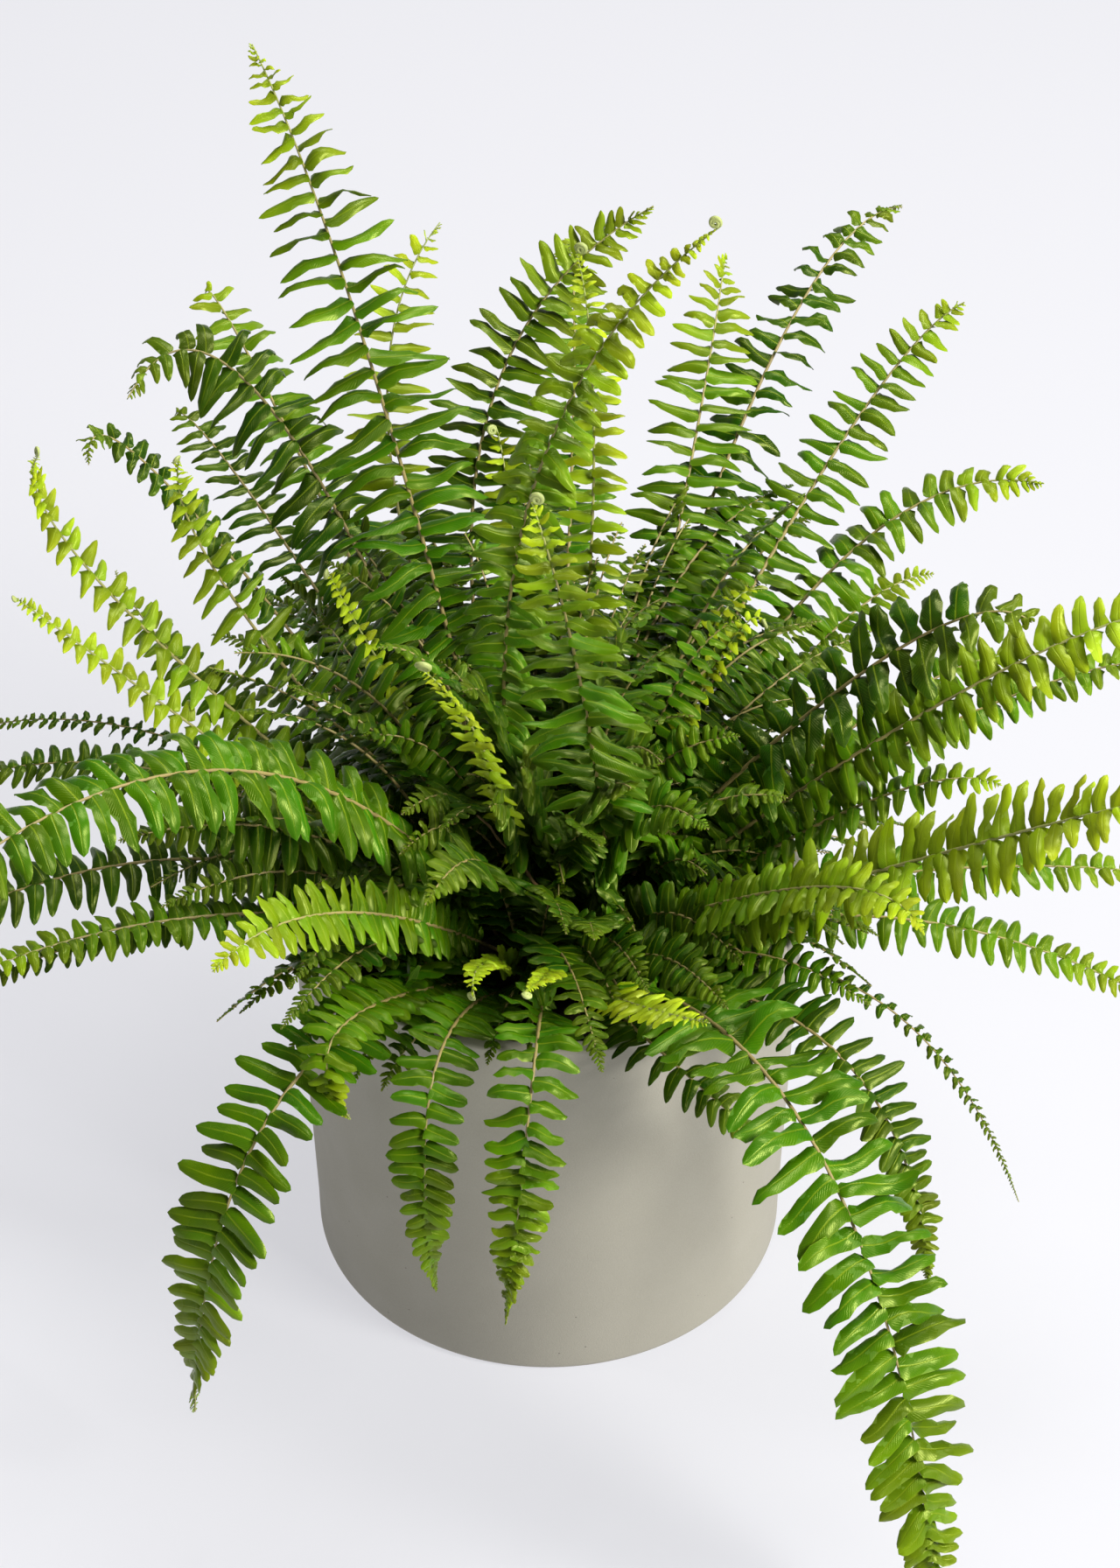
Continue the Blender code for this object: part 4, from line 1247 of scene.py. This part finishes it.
class OBJECT_OT_fern_stage(bpy.types.Operator):
    """Sets the flat pale floor, the soft lights, the surround and the camera"""

    bl_idname = "object.fern_stage"
    bl_label = "Stage"

    def execute(self, context):
        look = context.scene.fern_stage
        scene = context.scene
        scene.view_settings.view_transform = "Standard"

        half = 9.0
        corners = np.array([(-half, -half, 0), (half, -half, 0), (half, half, 0), (-half, half, 0)])
        floor = bpy.data.objects.new("floor", new_mesh("floor", corners, [np.array([[0, 1, 2, 3]])]))
        scene.collection.objects.link(floor)
        made, _, surface = new_material("pale_floor")
        surface.inputs["Base Color"].default_value = tuple(look.floor_colour)
        surface.inputs["Emission Color"].default_value = tuple(look.floor_glow)
        surface.inputs["Emission Strength"].default_value = 1.0
        surface.inputs["Roughness"].default_value = 0.95
        floor.data.materials.append(made)

        # the surround lights the plant softly, and looks paler than it lights
        lit, seen_extra = 0.17, 0.70
        world = bpy.data.worlds.new("surround")
        world.use_nodes = True
        nodes = Nodes(world.node_tree)
        background = world.node_tree.nodes["Background"]
        background.inputs["Color"].default_value = (0.95, 0.96, 1.0, 1)
        seen = nodes.add("ShaderNodeLightPath").outputs["Is Camera Ray"]
        nodes.feed(background.inputs["Strength"], nodes.maths("MULTIPLY_ADD", seen, seen_extra, lit))
        scene.world = world

        self.area_light("key_soft", (1.9, -1.3, 2.0), (1.0, 1.0), 112.0, (1.0, 0.99, 0.96))
        self.area_light("top_soft", (0.4, 0.9, 2.6), (1.3, 0.9), 50.0, (1.0, 1.0, 1.0))
        self.area_light("left_fill", (-2.2, -0.8, 1.4), (1.2, 1.2), 1.0, (0.96, 0.98, 1.0))

        data = bpy.data.cameras.new("camera")
        data.sensor_width, data.lens = 36.0, look.lens
        camera = bpy.data.objects.new("camera", data)
        camera.location = (0.0, -look.distance, look.height)
        camera.rotation_euler = (np.pi / 2 - look.pitch, 0.0, -look.yaw)
        scene.collection.objects.link(camera)
        scene.camera = camera
        return {"FINISHED"}

    def area_light(self, name, place, size, power, colour):
        """A rectangular soft light that faces the middle of the plant."""
        data = bpy.data.lights.new(name, "AREA")
        data.shape, data.size, data.size_y = "RECTANGLE", *size
        data.energy, data.color = power, colour
        light = bpy.data.objects.new(name, data)
        middle = (np.array(CAD_BOX[0]) + np.array(CAD_BOX[1])) / 2
        from_light = unit(middle - np.array(place))
        light.location = place
        pitch = np.arccos(-from_light[2])
        light.rotation_euler = (pitch, 0.0, np.arctan2(-from_light[0], from_light[1]))
        bpy.context.scene.collection.objects.link(light)


# ---------------------------------------------------------------- panel and run


STEPS = (
    OBJECT_OT_fern_stage,
    OBJECT_OT_fern_planter,
    OBJECT_OT_fern_soil,
    OBJECT_OT_fern_crown,
    OBJECT_OT_fern_fronds,
    OBJECT_OT_fern_heart,
    OBJECT_OT_fern_dried_midrib,
)
SETTINGS = (
    ("fern_planter", FernPlanterSettings),
    ("fern_leaf", FernLeafSettings),
    ("fern_stage", FernStageSettings),
)


class VIEW3D_PT_fern(bpy.types.Panel):
    """Lists the fern's settings and its building steps"""

    bl_idname = "VIEW3D_PT_fern"
    bl_label = "Potted fern"
    bl_space_type = "VIEW_3D"
    bl_region_type = "UI"
    bl_category = "Fern"

    def draw(self, context):
        for key, group in SETTINGS:
            settings = getattr(context.scene, key)
            for prop in group.__annotations__:
                self.layout.prop(settings, prop)
        for step in STEPS:
            self.layout.operator(step.bl_idname)


def register():
    for key, group in SETTINGS:
        bpy.utils.register_class(group)
        setattr(bpy.types.Scene, key, bpy.props.PointerProperty(type=group))
    for cls in (*STEPS, VIEW3D_PT_fern):
        bpy.utils.register_class(cls)


def unregister():
    for cls in (VIEW3D_PT_fern, *reversed(STEPS)):
        bpy.utils.unregister_class(cls)
    for key, group in reversed(SETTINGS):
        delattr(bpy.types.Scene, key)
        bpy.utils.unregister_class(group)


def main():
    register()
    for step in STEPS:
        family, _, action = step.bl_idname.partition(".")
        getattr(getattr(bpy.ops, family), action)()


if __name__ == "__main__":
    main()
